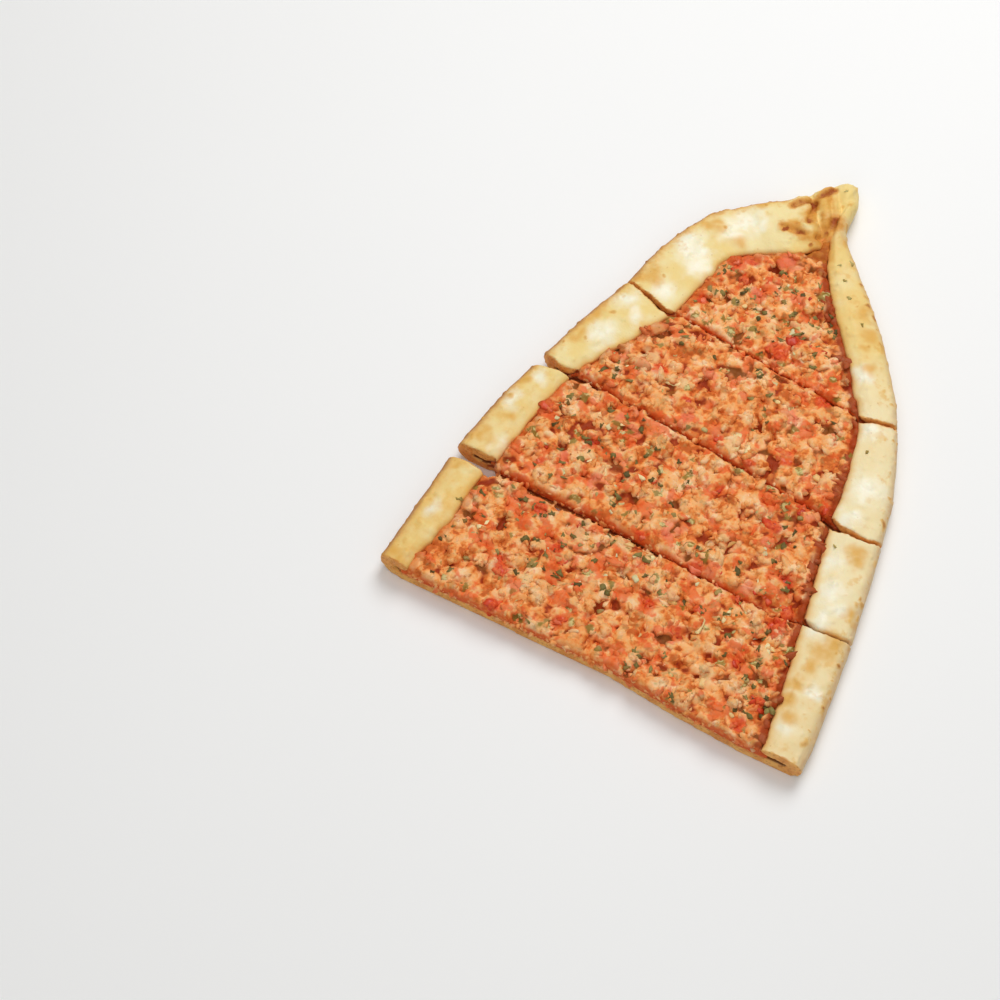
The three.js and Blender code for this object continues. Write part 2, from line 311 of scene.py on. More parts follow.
# %% [markdown]
# ## Finding the cuts
#
# A cut is an upright face across the bread, and the corners of such faces give the line that the knife
# took. From that line follows how far inside its slice a point lies, and whether the knife left it.

# %% Cuts
SIDES = {"point": (-1,), "second": (-1, 1), "third": (-1, 1), "end": (-1, 1)}  # where each slice was cut
KNIFE_REACH = 0.9  # a point this far from the knife's line is off the cut face


def on_cut(name, side):
    """Which faces the knife left, on the side of the end (-1) or of the point (1)."""
    facings = faces_of(f"bread_{name}")[1]
    return (np.abs(facings[:, 2]) < 0.02) & (side * facings[:, 1] > 0.5)


def cut_lines(name):
    """The line of each of a slice's cuts, seen from above, as [x, y] places from west to east."""
    data = frame["nodes"][f"bread_{name}"].data
    lines = {}
    for side in SIDES[name]:
        found = np.flatnonzero(on_cut(name, side))
        corners = {tuple(np.round(data.vertices[v].co[:2] / np.float32(MM), 1))
                   for k in found for v in data.polygons[k].vertices}
        lines[side] = np.array(sorted(corners), float)
    return lines


def inset(points, side, line):
    """How far points lie inside a cut, measured along the food."""
    return side * (np.interp(points[:, 0], line[:, 0], line[:, 1]) - points[:, 1])


def cutness(points, directions, name):
    """1 on a slice's cut faces, 0 away from them."""
    found = np.zeros(len(points))
    for side, line in CUTS[name].items():
        near = rise(np.abs(inset(points, side, line)), KNIFE_REACH, 0.25)
        found = np.maximum(found, near * rise(side * directions[:, 1], 0.2, 0.5))
    return found


CUTS = {name: cut_lines(name) for name in SLICES}
for name, lines in CUTS.items():
    print(name, {side: (len(line), line[0].tolist(), line[-1].tolist()) for side, line in lines.items()})

# %% [markdown]
# ## Finding the outer wall and the flap
#
# The outer wall is what faces sideways and away from the middle, where no knife went. The flap is the
# dough that was folded in over the topping, and it lies highest.

# %% Outer wall and flap
INSIDE = np.array([0, -20, 0])  # a place inside the outline, from which the outer wall faces away
FLAP_HEIGHT = 6.0  # bread above this is the folded rim


def outer_wall(name):
    """The faces of a slice's outer wall."""
    middles, facings, _ = faces_of(f"bread_{name}")
    chosen = np.sum((middles - INSIDE)[:, :2] * facings[:, :2], axis=1) > 0
    chosen &= np.abs(facings[:, 2]) < 0.6
    for side in SIDES[name]:
        chosen &= ~on_cut(name, side)
    return chosen


def flap(name):
    """The faces of a slice's folded rim."""
    return faces_of(f"bread_{name}")[0][:, 2] > FLAP_HEIGHT


WALLS = {name: tree_of(f"bread_{name}", outer_wall(name)) for name in SLICES}
FLAPS = {name: tree_of(f"bread_{name}", flap(name)) for name in SLICES}
for name in SLICES:
    print(name, "faces of the wall:", outer_wall(name).sum(), "and of the flap:", flap(name).sum())

# %% [markdown]
# ## The bread
#
# The solids are faceted, and dough isn't. Each slice's bread is copied, turned into an even skin of
# small squares by a voxel remesh, and smoothed, which rounds the facets away and keeps the fold open.
# Then the dough is given its puffs and dips, the blisters that rise where steam is caught under the
# skin, and a crumb with small pores on the faces that the knife left. The underside stays flat, because
# it lay on the oven's floor.

# %% The bread's skin
BREAD_VOXEL = 0.5
PUFF_ACROSS = 8.5  # the broad puffs, and how high they stand
PUFF = 0.32
RIPPLE_ACROSS = 3.2  # the small ripples on them
RIPPLE = 0.13
PORE_ACROSS = 1.9  # the crumb's pores on a cut face, and how deep they are
PORE = 0.3


def soft_copy(node, name, voxel, rounds):
    """A copy of a node with an even skin of small squares, smoothed until no facet shows."""
    piece = copy_of(node, name)
    apply_modifier(piece, "REMESH", mode="VOXEL", voxel_size=voxel * MM)
    apply_modifier(piece, "SMOOTH", factor=0.5, iterations=rounds)
    return piece


breads = {name: soft_copy(f"bread_{name}", f"bread_skin_{name}", BREAD_VOXEL, 5) for name in SLICES}
print("points:", {name: len(piece.data.vertices) for name, piece in breads.items()})

# %% [markdown]
# ### Blisters
#
# Steam lifts the dough's skin in small blisters, and these brown first. Their places are drawn at
# random on the folded rim, kept apart by taking one point from each cube of space. Each gives two
# things: how high the skin rises, and how brown it is there.

# %% Blisters
draw = np.random.default_rng(11)
BLISTER_SPACING = 4.0
BLISTER_RADIUS = (0.7, 2.4)
BLISTER_RISE = (0.1, 0.4)
BLISTER_REACH = 11  # further from the outer wall there are none


def spread(points, spacing):
    """Picks one point at random from each cube of space that has some."""
    order = draw.permutation(len(points))
    cubes = np.floor(points[order] / spacing).astype(int)
    _, first = np.unique(cubes, axis=0, return_index=True)
    return order[first]


def blistered(points, directions, outer):
    """How high each point is lifted by blisters, and how brown they have left it."""
    on_rim = (points[:, 2] > FLAP_HEIGHT) & (outer < BLISTER_REACH)
    crown = np.flatnonzero(on_rim & (directions[:, 2] > 0.3))
    lift = np.zeros(len(points))
    brown = np.zeros(len(points))
    ragged = crumpled(crumpled(points, 2.2, 0.8, 71), 0.9, 0.35, 75)
    for k in spread(points[crown], BLISTER_SPACING):
        middle = points[crown[k]]
        radius = draw.uniform(*BLISTER_RADIUS) * draw.uniform(0.4, 1)
        height = draw.uniform(*BLISTER_RISE)
        burnt = draw.uniform(0, 1) ** 2 * (1.2 - 0.1 * outer[crown[k]])
        share = 1 - np.linalg.norm(ragged - middle, axis=1) / radius
        lift = np.maximum(lift, height * rise(share, 0, 0.8))
        brown = np.maximum(brown, burnt * rise(share, -0.3, 0.9))
    return lift, brown


# %% [markdown]
# ### Marks with a place of their own
#
# These are the butter that was brushed on the rim, whose pale patches are partly painted highlight, the
# crust that has gone golden along its outer side, small browned flecks, and the creases where the two folds
# were pinched and twisted to a point, whose brown is partly painted shade. There the butter gathered, so
# the dough is amber, and burnt in a few places. Random noise could place all of these, but then none would
# be where a baker's hands put it.

# %% Marks with a place of their own
# Each mark: its place [x, y], and its radius.
# Butter on the rim: its pale patches are partly painted highlight.
BUTTER_AND_HIGHLIGHTS = [
    (-37, 54, 4.1), (-34, 50, 5.5), (-31, 45, 4.1), (-38, 32, 3.6), (-24, 69, 5.5), (-25, 63, 4.1),
    (-18, 71, 2.8), (-47, 6, 4.0), (-45, 8, 3.2), (-40, 17, 2.9), (-46, 22, 4.0), (-57, -18, 2.9),
    (-61, -29, 3.0), (-56, -46, 3.0), (-65, -76, 2.4), (34, 31, 3.2), (44, 12, 3.6), (51, -9, 5.3),
    (51, -20, 3.6), (52, -36, 4.0), (57, -46, 4.5), (58, -56, 3.2), (61, -51, 2.9), (58, -60, 2.9),
    (66, -79, 2.5), (62, -94, 2.9),
]
GOLDEN = [
    (-33, 62, 3.1), (-32, 65, 1.9), (-43, 36, 3.8), (-47, 33, 2.5), (-52, 13, 3.1), (-53, 9, 2.5),
    (-54, 3, 2.5), (-63, -45, 2.5), (-59, -35, 2.2), (-62, -20, 2.2), (-68, -95, 3.1), (-65, -97, 2.8),
    (31, 45, 3.1), (31, 40, 1.9), (58, -30, 3.1), (60, -33, 2.5), (62, -66, 3.8), (63, -62, 3.1),
    (61, -73, 2.6), (60, -79, 2.4), (59, -86, 2.6), (62, -90, 1.9), (65, -51, 2.2), (-22, 78, 1.9),
    (-22, 60, 2.5), (-66, -58, 1.9), (-3, 87, 4.2), (-6, 81, 3.6), (-2, 75, 4.0), (1, 80, 3.4),
    (-10, 75, 3.2), (26, 52, 2.6), (36, 34, 2.0),
]
FLECKS = [
    (-30, 63, 0.9), (-39, 38, 1.1), (-48, 15, 1.1), (-51, 2, 0.8), (32, 41, 1.1), (-20, 78, 0.9),
    (-49, 37, 0.8), (-64, -55, 0.9), (23, 54, 0.6),
]
BURNT = [(-10.8, 72.8, 1.3), (-1.0, 70.3, 1.0), (-6.6, 87.0, 1.2), (1.6, 76.5, 1.6)]
AMBER = [
    (-1, 83, 2.6), (2.5, 81, 2.2), (1, 77, 3.0), (-1.5, 73.5, 2.6), (-4.6, 72.7, 1.8), (-6.6, 83, 1.8),
    (3.8, 73.4, 1.6), (-2.8, 90.5, 1.8), (0.4, 69.5, 1.6), (-9.5, 74, 2.0),
]
# Each crease: the places on its line, how wide and how deep it is, and how brown, which is partly painted
# shade.
CREASES = [
    ([(-12.2, 83.3), (-10.3, 85.7), (-8.1, 87.3), (-6.3, 87.3), (-5.9, 83.8), (-5.1, 78.5)], 1.1, 0.8, 0.9),
    ([(-5.4, 90.2), (-4.4, 93.0), (-3.0, 95.7)], 1.0, 0.6, 0.8),
    ([(-3.0, 93.0), (-0.6, 88.0), (1.4, 83.6)], 1.4, 0.9, 0.3),
    ([(2.6, 83.4), (2.3, 80.0), (1.5, 76.8), (0.6, 74.5)], 1.7, 0.9, 0.95),
    ([(-11.9, 72.9), (-9.4, 72.8), (-7.0, 73.3), (-4.6, 73.4)], 1.2, 0.8, 0.9),
    ([(3.9, 74.4), (4.7, 70.1), (5.7, 66.1)], 0.9, 0.4, 0.8),
]
print("butter, golden, creases:", len(BUTTER_AND_HIGHLIGHTS), len(GOLDEN), len(CREASES))

# %% [markdown]
# ### Spots and creases
#
# A spot is round with a ragged edge, and bent a little out of round. A crease follows a line, with the
# dough piled up a little on both sides of it. Its bottom is brown, partly burnt and partly painted shade,
# and the brown is broken along its length, because only the dough that stood out was burnt.

# %% Spots and creases
def spots(points, ragged, places, soft=0.45):
    """1 inside each of the spots, fading to 0 at its rim. They are bent out of round."""
    found = np.zeros(len(points))
    bent = crumpled(points, 4.2, 1.7, 21)
    for x, y, radius in places:
        share = 1.3 - np.hypot(bent[:, 0] - x, bent[:, 1] - y) / radius
        found = np.maximum(found, rise(share + ragged, 0.45 - soft, 0.45 + soft))
    return found


def away_from(points, line):
    """The distance to a line of [x, y] places, seen from above."""
    nearest = np.full(len(points), 99.0)
    for start, end in zip(np.array(line[:-1], float), np.array(line[1:], float)):
        way = end - start
        share = np.clip((points[:, :2] - start) @ way / (way @ way), 0, 1)
        gap = points[:, :2] - start - share[:, None] * way
        nearest = np.minimum(nearest, np.hypot(gap[:, 0], gap[:, 1]))
    return nearest


def creased(points, directions):
    """How far the creases sink or lift each point, and how brown they are there: burnt, and painted shade.
    """
    sunk = np.zeros(len(points))
    brown = np.zeros(len(points))
    wobble = 0.5 * hills(points, 2.4, 35)
    for line, width, depth, share in CREASES:
        away = away_from(points, line) + wobble
        shoulder = rise(away, 0.8 * width, 1.5 * width) * rise(away, 3.2 * width, 1.7 * width)
        sunk += depth * (0.3 * shoulder - rise(away, width, 0.1))
        broken = share * (0.78 + 0.35 * hills(points, 2.8, 37))
        brown = np.maximum(brown, broken * rise(away + 0.5 * hills(points, 1.3, 36), 2.9 * width, 0))
    return sunk * rise(directions[:, 2], 0, 0.4), brown


# %% [markdown]
# ### Regions
#
# The oven is hotter on one side, so the crust's colour drifts slowly over the food. The pale east side is
# partly a painted highlight. A region is a product of soft steps along x or y, which leaves no border.

# %% Regions
# Each step: along x (0) or y (1), where it is 0, and where it is 1.
WEST = (0, 4, -4)
EAST = (0, -4, 4)
TIP = (1, 83, 92)  # the pinched point, which was sheltered by its own folds
# the east rims, painted paler: partly a painted highlight
PALE_HIGHLIT_SIDE = [EAST, (1, 44, 18)]
SUNNED_SIDES = [
    (1.3, [WEST, (1, 0, -60)]),
    (0.7, [EAST, (1, 12, 40), (1, 86, 76)]),
    (0.6, [EAST, (1, -56, -66)]),
]
STILL_TOUCHING = [(0, 40, 46), (1, -64, -60), (1, -46, -52)]  # here no gap shows between two slices
FAR_FROM_END = (1, -90, -70)  # on the end slice, the stain and its painted crack shade stop short of the outermost cut, which faces the open


def region(points, *steps):
    """1 inside the region, 0 away from it."""
    found = np.ones(len(points))
    for axis, start, end in steps:
        found = found * rise(points[:, axis], start, end)
    return found


print("west, along the row:", region(ROW, WEST).round(2))

# %% [markdown]
# ### The slot of the fold
#
# Under the flap the fold stays open as a slot, doughy, and painted dark as shade. A point lies in it if a
# look along its own direction soon meets more dough.

# %% Inside the fold
FOLD_REACH = 4  # how far a point looks for dough that faces it
FOLD_START = 0.3  # and from how far off its own dough


def in_a_fold(points, directions, tree):
    """1 where the dough faces more dough close by, as inside the fold's slot."""
    gaps = []
    for start, way in zip(map(Vector, points + FOLD_START * directions), map(Vector, directions)):
        _, facing, _, gap = tree.ray_cast(start, way, FOLD_REACH)
        gaps.append(gap if facing and facing.dot(way) < 0 else 2 * FOLD_REACH)
    return rise(np.array(gaps), 3.6, 1.2)


# %% [markdown]
# ### Shaping the skin
#
# Puffs, ripples, blisters and creases are added up to one relief, which moves each point along its own
# direction. On the knife's faces there are pores instead. What the finish will need later is stored
# with the points: how far the outer wall is, what lies inside a fold, to be painted in shade, what
# touches the topping, and each kind of mark.

# %% Shape and mark each slice's bread
for name, piece in breads.items():
    points = points_of(piece)
    directions = directions_of(piece)
    tip = region(points, TIP)
    west = region(points, WEST)
    outer = distance_to(WALLS[name], points) + 5 * tip
    touching = distance_to(TOPPING_TREES[name], points, 6)
    cut = cutness(points, directions, name)
    lift, brown = blistered(points, directions, outer)
    sunk, folded = creased(points, directions)
    ragged = 0.35 * hills(points, 2.6, 31) + 0.2 * hills(points, 1.1, 32)
    pores = rise(lumps(points, PORE_ACROSS, 41)[0], 0.6, 0.95) * rise(hills(points, 3.1, 45), -0.4, 0.3)
    relief = PUFF * hills(points, PUFF_ACROSS, 1) + RIPPLE * hills(points, RIPPLE_ACROSS, 2) + lift + sunk
    relief = relief * (1 - cut) - PORE * pores * cut
    relief *= rise(points[:, 2], 0.3, 1.6)
    amber = (0.42 + 0.2 * hills(points, 1.6, 33)) * spots(points, ragged, AMBER)
    folded = np.maximum(np.maximum(folded, spots(points, ragged, BURNT)), amber)
    in_crack = cut * (1.0 if name != "end" else region(points, FAR_FROM_END))
    marks = {
        "outer": outer,
        "cut": cut * (1 - 0.8 * region(points, *STILL_TOUCHING)),
        "blister": np.maximum(brown, 0.62 * spots(points, ragged, FLECKS)),
        # butter, which the finish paints paler, partly as highlight
        "butter": spots(points, 1.3 * ragged, BUTTER_AND_HIGHLIGHTS, 0.95),
        # the creases' brown, partly burnt and partly painted shade, with the burnt spots and the amber
        "folded": folded * rise(points[:, 2], 2.5, 5),
        "golden": spots(points, 1.3 * ragged, GOLDEN, 0.8),
        # the slot of the fold, which the finish paints dark as shade
        "inside": in_a_fold(points, directions, BREAD_TREES[name]),
        "left": west,
        "pale": region(points, *PALE_HIGHLIT_SIDE),
        "sunned": sum(share * region(points, *steps) for share, steps in SUNNED_SIDES),
        "tip": tip,
        "near": rise(touching + ragged, 3.4, 0.8) * (1 - cut),
        "oily": rise(touching + ragged, 1.4, 0.2) * (1 - cut),
        # the topping's juice on the cut faces in the cracks, darkened there as painted shade
        "stained": in_crack * 0.8 * rise(touching + 1.2 * ragged, 2.4, 0.4),
        "under": rise(-directions[:, 2], 0.5, 0.9) * rise(points[:, 2], 1.2, 0.4),
    }
    move_points(piece, points + directions * relief[:, None])
    paint(piece, marks)
print("faces of bread:", sum(len(piece.data.polygons) for piece in breads.values()))

# %% [markdown]
# ## The baked paste
#
# The topping is spread as a paste and bakes into one mat of crumbs that hold together, with hollows and
# creases between them, whose darkness is partly painted shade. Its larger bits can be told apart: diced
# tomato, red, or pink where it is only just done, onion, green pepper, and the hollows where the mat tore
# open. Each gets a mark, its place and its radius. The same marks are used three times, to colour the mat,
# to colour the crumbs on it, and to lay a die on each.

# %% The topping's marks
TOMATO = [
    (-20, 54, 2.2), (-16, 57, 2.5), (-16, 49, 1.6), (-24, 35, 2.2), (-6, 52, 1.3), (6, 27, 3.1),
    (9, 33, 2.5), (-40, 3, 1.6), (-24, 4, 1.9), (-11, -4, 1.3), (3, -12, 1.6), (25, -9, 2.2),
    (15, -16, 1.6), (27, 17, 1.9), (37, -23, 1.9), (44, -20, 1.9), (11, -28, 1.9), (32, -32, 1.6),
    (-51, -26, 1.9), (-32, -31, 1.9), (-43, -45, 1.9), (-24, -70, 1.9), (-21, -74, 1.6),
    (-36, -85, 2.2), (-35, -61, 1.6), (-34, -97, 1.9), (-13, -92, 1.9), (50, -98, 2.4), (53, -91, 2.0),
    (8, -74, 2.5), (16, -57, 2.8), (-3, -54, 1.9), (43, -49, 2.2), (32, -61, 1.9), (45, -64, 2.5),
    (20, -80, 1.6), (40, -81, 1.6), (47, -58, 1.9),
]
PINK = [
    (-4, 61, 2.5), (-9, 45, 1.6), (-37, 4, 1.9), (-9, -9, 2.2), (-8, 8, 1.9), (20, 6, 1.9),
    (41, -26, 1.6), (-28, -19, 1.9), (-37, -40, 1.6), (-20, -34, 1.9), (-23, -44, 2.2), (-22, -22, 2.2),
    (-4, -63, 1.6), (4, -48, 2.8), (33, -56, 1.6), (31, -39, 1.6),
]
ONION = [
    (-4, 30, 1.6), (1, 34, 1.6), (-30, 7, 2.5), (-30, 2, 1.6), (-17, 2, 2.5), (9, -10, 2.2),
    (37, -10, 2.2), (-34, -21, 2.2), (-31, -37, 1.9), (-23, -39, 2.2), (-20, -63, 1.9), (-7, -59, 1.9),
    (1, -60, 1.9), (-33, -93, 1.6), (-12, -75, 2.2), (22, -45, 2.8), (14, -71, 2.5), (26, -75, 1.9),
    (47, -73, 2.2), (34, -89, 2.5), (9, 40, 2.5), (-28, -84, 1.9),
]
HOLES = [
    (-9, 40, 1.3), (-17, 33, 1.3), (-8, 26, 1.6), (-3, 22, 1.9), (-30, 14, 1.6), (-22, 16, 1.3),
    (-35, -5, 1.3), (-25, -4, 1.3), (-13, -11, 1.6), (12, -15, 1.6), (14, -3, 1.6), (21, -6, 1.6),
    (29, 3, 1.6), (27, 9, 1.3), (-45, -25, 1.9), (-44, -32, 1.3), (-22, -34, 1.3), (-29, -43, 1.3),
    (-34, -71, 1.3), (43, -63, 1.6), (26, -88, 1.6), (22, -96, 1.6), (-12, -95, 1.3), (-3, 16, 1.6),
]
PEPPER = [
    (-23, 46, 0.9), (-2, -11, 1.3), (36, 6, 1.3), (26, -30, 1.6), (-3, -83, 1.6), (42, -70, 1.6),
    (33, -43, 1.3), (-46, -15, 0.8), (5, 48, 0.9), (-18, -66, 1.3),
]
STAINS = {"red": TOMATO, "pink": PINK, "pale": ONION}


def stains_at(points):
    """How red, pink or pale the mince is at each point, by its marks."""
    ragged = 0.3 + 0.4 * hills(points, 1.9, 65)
    return {kind: spots(points, ragged, marks) for kind, marks in STAINS.items()}


print("marks:", {kind: len(marks) for kind, marks in STAINS.items()}, "holes:", len(HOLES))

# %% [markdown]
# ### Slumped edges
#
# Where the knife went through, the soft topping has slumped over the cut, most of all on the third
# slice. Each edge is rounded off downwards over a width that wanders, and never sinks below the bread.

# %% Slumped edges
FLOOR_OF_PASTE = 3.9  # where the topping lies on the bread
SLUMP = {"point": 1.3, "second": 2.6, "third": 3.8, "end": 1.4}  # how far each lower edge has slumped
UPPER_SLUMP = 0.9  # and the edge on the other side
SLUMPED_LOW = 0.34  # how much of its height is left at the very edge


def slumped(points, name):
    """The points with the edges at the cuts rounded off downwards, and how much each has slumped."""
    lowered = np.zeros(len(points))
    for side, line in CUTS[name].items():
        reach = (SLUMP[name] if side < 0 else UPPER_SLUMP) * (1 + 0.35 * hills(points, 6.5, 81 + side))
        share = np.clip(inset(points, side, line) / reach, 0, 1)
        left = SLUMPED_LOW + (1 - SLUMPED_LOW) * np.sqrt(1 - (1 - share) ** 2)
        lowered = np.maximum(lowered, 1 - left)
    moved = points.copy()
    moved[:, 2] -= lowered * np.maximum(points[:, 2] - FLOOR_OF_PASTE, 0)
    return moved, lowered / (1 - SLUMPED_LOW)


# %% [markdown]
# ### The mat
#
# The topping's body is remeshed more finely than the bread, because its skin has to hold crumbs of a
# millimetre. Where it meets the folded rim, oil gathers, and the rim's shade is painted there as well,
# darker along the east rims. In places the mat tore open as it shrank in the oven, and left a small
# hollow, painted dark partly as shade.

# %% The mat's skin
PASTE_VOXEL = 0.45
OILY_EDGE = 3.2  # how far the oil and the painted shade at the rim reach into the topping


def oily_at(points, name):
    """1 where the topping touches the folded rim, with a ragged border."""
    return rise(distance_to(FLAPS[name], points, 8) + 0.7 * hills(points, 2.1, 69), OILY_EDGE, 0.6)


def hollows(points, ragged):
    """1 in the mat's hollows: those that are marked, and others at random."""
    marked = spots(points, 0.3 * hills(points, 1.3, 67), HOLES)
    return np.maximum(rise(hills(ragged, 3.6, 97), 0.36, 0.6), marked)


pastes = {name: soft_copy(f"topping_{name}", f"mince_paste_{name}", PASTE_VOXEL, 3) for name in SLICES}
print("points:", {name: len(piece.data.vertices) for name, piece in pastes.items()})

# %% [markdown]
# ### The mat's relief
#
# The mat is sunk a little and given crumbs of three sizes as relief. The lumps' borders are crumpled
# first, because mince has no even grain. Towards the point the folds close over the topping, and it ends
# flat and brown. The relief's depth and each crumb's number are kept, because the finish needs them for
# its colours; the depth makes the mat darker and redder, partly as painted shade.

# %% The mat's relief
SUNK = 0.9
HOLE_DEPTH = 0.9
CRUMB_SIZES = [(4.4, 1.3), (2.5, 0.85), (1.1, 0.12)]  # across, and how far each kind stands up
FULL_HEIGHT = sum(height for _, height in CRUMB_SIZES)
TOPPING_END = 66  # further along, the folds close over the topping

for name, piece in pastes.items():
    points = points_of(piece)
    directions = directions_of(piece)
    cut = cutness(points, directions, name)
    upper = rise(directions[:, 2], 0.1, 0.6)
    moved, edge = slumped(points, name)
    ragged = crumpled(points, 1.7, 0.6, 61)
    layers = [lumps(ragged, across, 51 + 7 * k) for k, (across, _) in enumerate(CRUMB_SIZES)]
    height = sum(height * lump for (_, height), (lump, _) in zip(CRUMB_SIZES, layers))
    (_, large_number), (middle_lump, middle_number) = layers[:2]
    hole = hollows(points, ragged)
    hole *= upper * (1 - edge) * rise(distance_to(BREAD_TREES[name], points, 8), 1.4, 2.8)
    ended = rise(points[:, 1], TOPPING_END - 0.5, TOPPING_END + 2)
    relief = (height - SUNK - HOLE_DEPTH * hole) * upper * (1 - 0.75 * edge) * (1 - 0.8 * ended)
    pitted = 0.16 * hills(points, 1.6, 55)
    depth = 1 - height / FULL_HEIGHT
    stains = stains_at(points)
    green = rise(middle_number, 0.95, 0.96) * rise(middle_lump, 0.1, 0.4)
    marks = {
        "tint": 0.5 * middle_number + 0.5 * large_number,
        # the relief's depth: the finish makes deep places darker and redder, partly oily paste, partly
        # painted shade
        "deep": np.where(upper > 0.1, depth * (1 - 0.5 * edge), 0.4) + 0.22 * hole,
        "ended": ended,
        **stains,
        "green": green * (1 - stains["red"]),
        "edge": edge,
        "cut": cut,
        "left": region(points, WEST),
        "oily": oily_at(points, name) * upper,
    }
    move_points(piece, moved + directions * (relief + pitted * cut)[:, None])
    paint(piece, marks)
    shares = np.percentile(depth[upper > 0.5], [5, 25, 50, 75, 95])
    print(name, len(piece.data.polygons), "faces, depth:", shares.round(2))

# %% [markdown]
# ## One crumb, modelled
#
# A crumb of baked mince is a knobbly grain, or a short piece of the strand that the grinder made. A
# small ball is pushed about at random, which is quick and never gives the same grain twice. Ten are
# enough: turned and stretched, they never look alike. Each has 80 faces, because it is repeated
# thousands of times.

# %% Grains
def shape_of(piece):
    """The points and faces of a piece, which is then taken away."""
    corners = points_of(piece)
    faces = np.array([tuple(face.vertices) for face in piece.data.polygons])
    bpy.data.objects.remove(piece)
    return corners, faces


def grain(seed, stretch):
    """The points and faces of one grain, about 1 millimetre in radius."""
    bpy.ops.object.select_all(action="DESELECT")
    bpy.ops.mesh.primitive_ico_sphere_add(subdivisions=2, radius=MM)
    ball = bpy.context.object
    bpy.ops.object.mode_set(mode="EDIT")
    bpy.ops.transform.vertex_random(offset=0.6 * MM, uniform=0.4, normal=0.6, seed=seed)
    bpy.ops.mesh.vertices_smooth(factor=0.5)
    bpy.ops.transform.resize(value=stretch)
    bpy.ops.object.mode_set(mode="OBJECT")
    return shape_of(ball)


ROUND_GRAINS = [grain(seed, (1.2, 1.0, 0.8)) for seed in range(6)]
STRANDS = [grain(seed, (1.9, 0.85, 0.75)) for seed in range(6, 10)]
GRAINS = ROUND_GRAINS + STRANDS
print("grain:", len(GRAINS[0][0]), "points", len(GRAINS[0][1]), "faces")

# %% [markdown]
# ## Places to scatter on
#
# Grains, dice and leaves are all spread in one way. Places are picked at random on the mat, so that no
# two are closer than they may be. They lie on its raised parts alone, so that the creases between stay
# open and dark, and never under the flap, where no one would see them.

# %% Places to scatter on
CREASE = 0.5  # deeper than this share of the relief nothing is laid


def clear_of_cuts(points, name, margin):
    """Whether points lie inside a slice's cuts by a margin, beyond what has slumped."""
    clear = np.ones(len(points), bool)
    for side, line in CUTS[name].items():
        slump = SLUMP[name] if side < 0 else UPPER_SLUMP
        clear &= inset(points, side, line) > max(margin, 0.7 * slump)
    return clear


def raised(name):
    """Which points of a slice's mat stand up between the creases."""
    return read(pastes[name].data.attributes["deep"].data, "value", 1)[:, 0] < CREASE


def places_on(name, chosen, spacing, margin=0.0, clear=0.0):
    """Places on a slice's topping that lie open to the sky, and the surface's directions there."""
    points = points_of(pastes[name])
    directions = directions_of(pastes[name])
    wanted = np.flatnonzero(chosen(points, directions) & raised(name) & (points[:, 1] < TOPPING_END))
    wanted = wanted[spread(points[wanted], spacing)]
    tree = BREAD_TREES[name]
    open_above = [tree.ray_cast(Vector(points[k]), Vector((0, 0, 1)))[0] is None for k in wanted]
    wanted = wanted[np.array(open_above, bool)]
    if margin:
        wanted = wanted[clear_of_cuts(points[wanted], name, margin)]
    if clear:
        wanted = wanted[distance_to(tree, points[wanted]) > clear]
    return points[wanted], directions[wanted]


print("share of the mat that stands up:", {name: round(float(raised(name).mean()), 2) for name in SLICES})

# %% [markdown]
# ## Many copies as one mesh
#
# Each place gets a shape, a turn and a size, and all of them become one mesh, because thousands of
# separate objects would be slow to draw and to store. Some numbers are stored with each copy, such as
# its tint, so that neighbours differ in colour.

# %% Many copies as one mesh
def turned(count, lean):
    """Random turns: about the vertical by any angle, and leaning by up to the given one."""
    spin = draw.uniform(0, 2 * math.pi, count)
    tilt = draw.uniform(0, lean, count)
    way = draw.uniform(0, 2 * math.pi, count)
    cos_s, sin_s, cos_w, sin_w = np.cos(spin), np.sin(spin), np.cos(way), np.sin(way)
    about = np.zeros((count, 3, 3))
    about[:, 0, 0], about[:, 0, 1], about[:, 1, 0], about[:, 1, 1] = cos_s, -sin_s, sin_s, cos_s
    about[:, 2, 2] = 1
    axis = np.stack([cos_w, sin_w, np.zeros(count)], axis=1)
    cross = np.zeros((count, 3, 3))
    cross[:, 0, 2], cross[:, 1, 2] = axis[:, 1], -axis[:, 0]
    cross[:, 2, 0], cross[:, 2, 1] = -axis[:, 1], axis[:, 0]
    lying = np.eye(3) + np.sin(tilt)[:, None, None] * cross
    lying = lying + (1 - np.cos(tilt))[:, None, None] * (cross @ cross)
    return lying @ about


def joined(name, shapes, places, turns, sizes, numbers):
    """One mesh of many copies: each place gets a shape, turned and sized, and keeps its numbers."""
    corners, faces, order = [], [], []
    count = 0
    which = draw.integers(0, len(shapes), len(places))
    for k, (shape, triangles) in enumerate(shapes):
        mine = np.flatnonzero(which == k)
        if not len(mine):
            continue
        moved = (shape[None] * sizes[mine][:, None, :]) @ turns[mine].transpose(0, 2, 1)
        moved = moved + places[mine][:, None]
        first = count + len(shape) * np.arange(len(mine))
        corners.append(moved.reshape(-1, 3))
        faces.append((triangles[None] + first[:, None, None]).reshape(-1, triangles.shape[1]))
        order.append(np.repeat(mine, len(shape)))
        count += len(shape) * len(mine)
    mesh = bpy.data.meshes.new(name)
    mesh.from_pydata((np.concatenate(corners) * MM).tolist(), [], np.concatenate(faces).tolist())
    piece = bpy.data.objects.new(name, mesh)
    bpy.context.scene.collection.objects.link(piece)
    paint(piece, {kind: values[np.concatenate(order)] for kind, values in numbers.items()})
    return piece


# %% [markdown]
# ## The crumbs
#
# Loose crumbs lie on the mat and stick to it, more than half sunk, and a few larger nuggets stand
# higher. A strand lies down, because it would fall over on end. None crosses a cut, because the knife
# took its edge along. The faces that the knife left show crumbs cut through, so there only a low cap of
# each stands out.

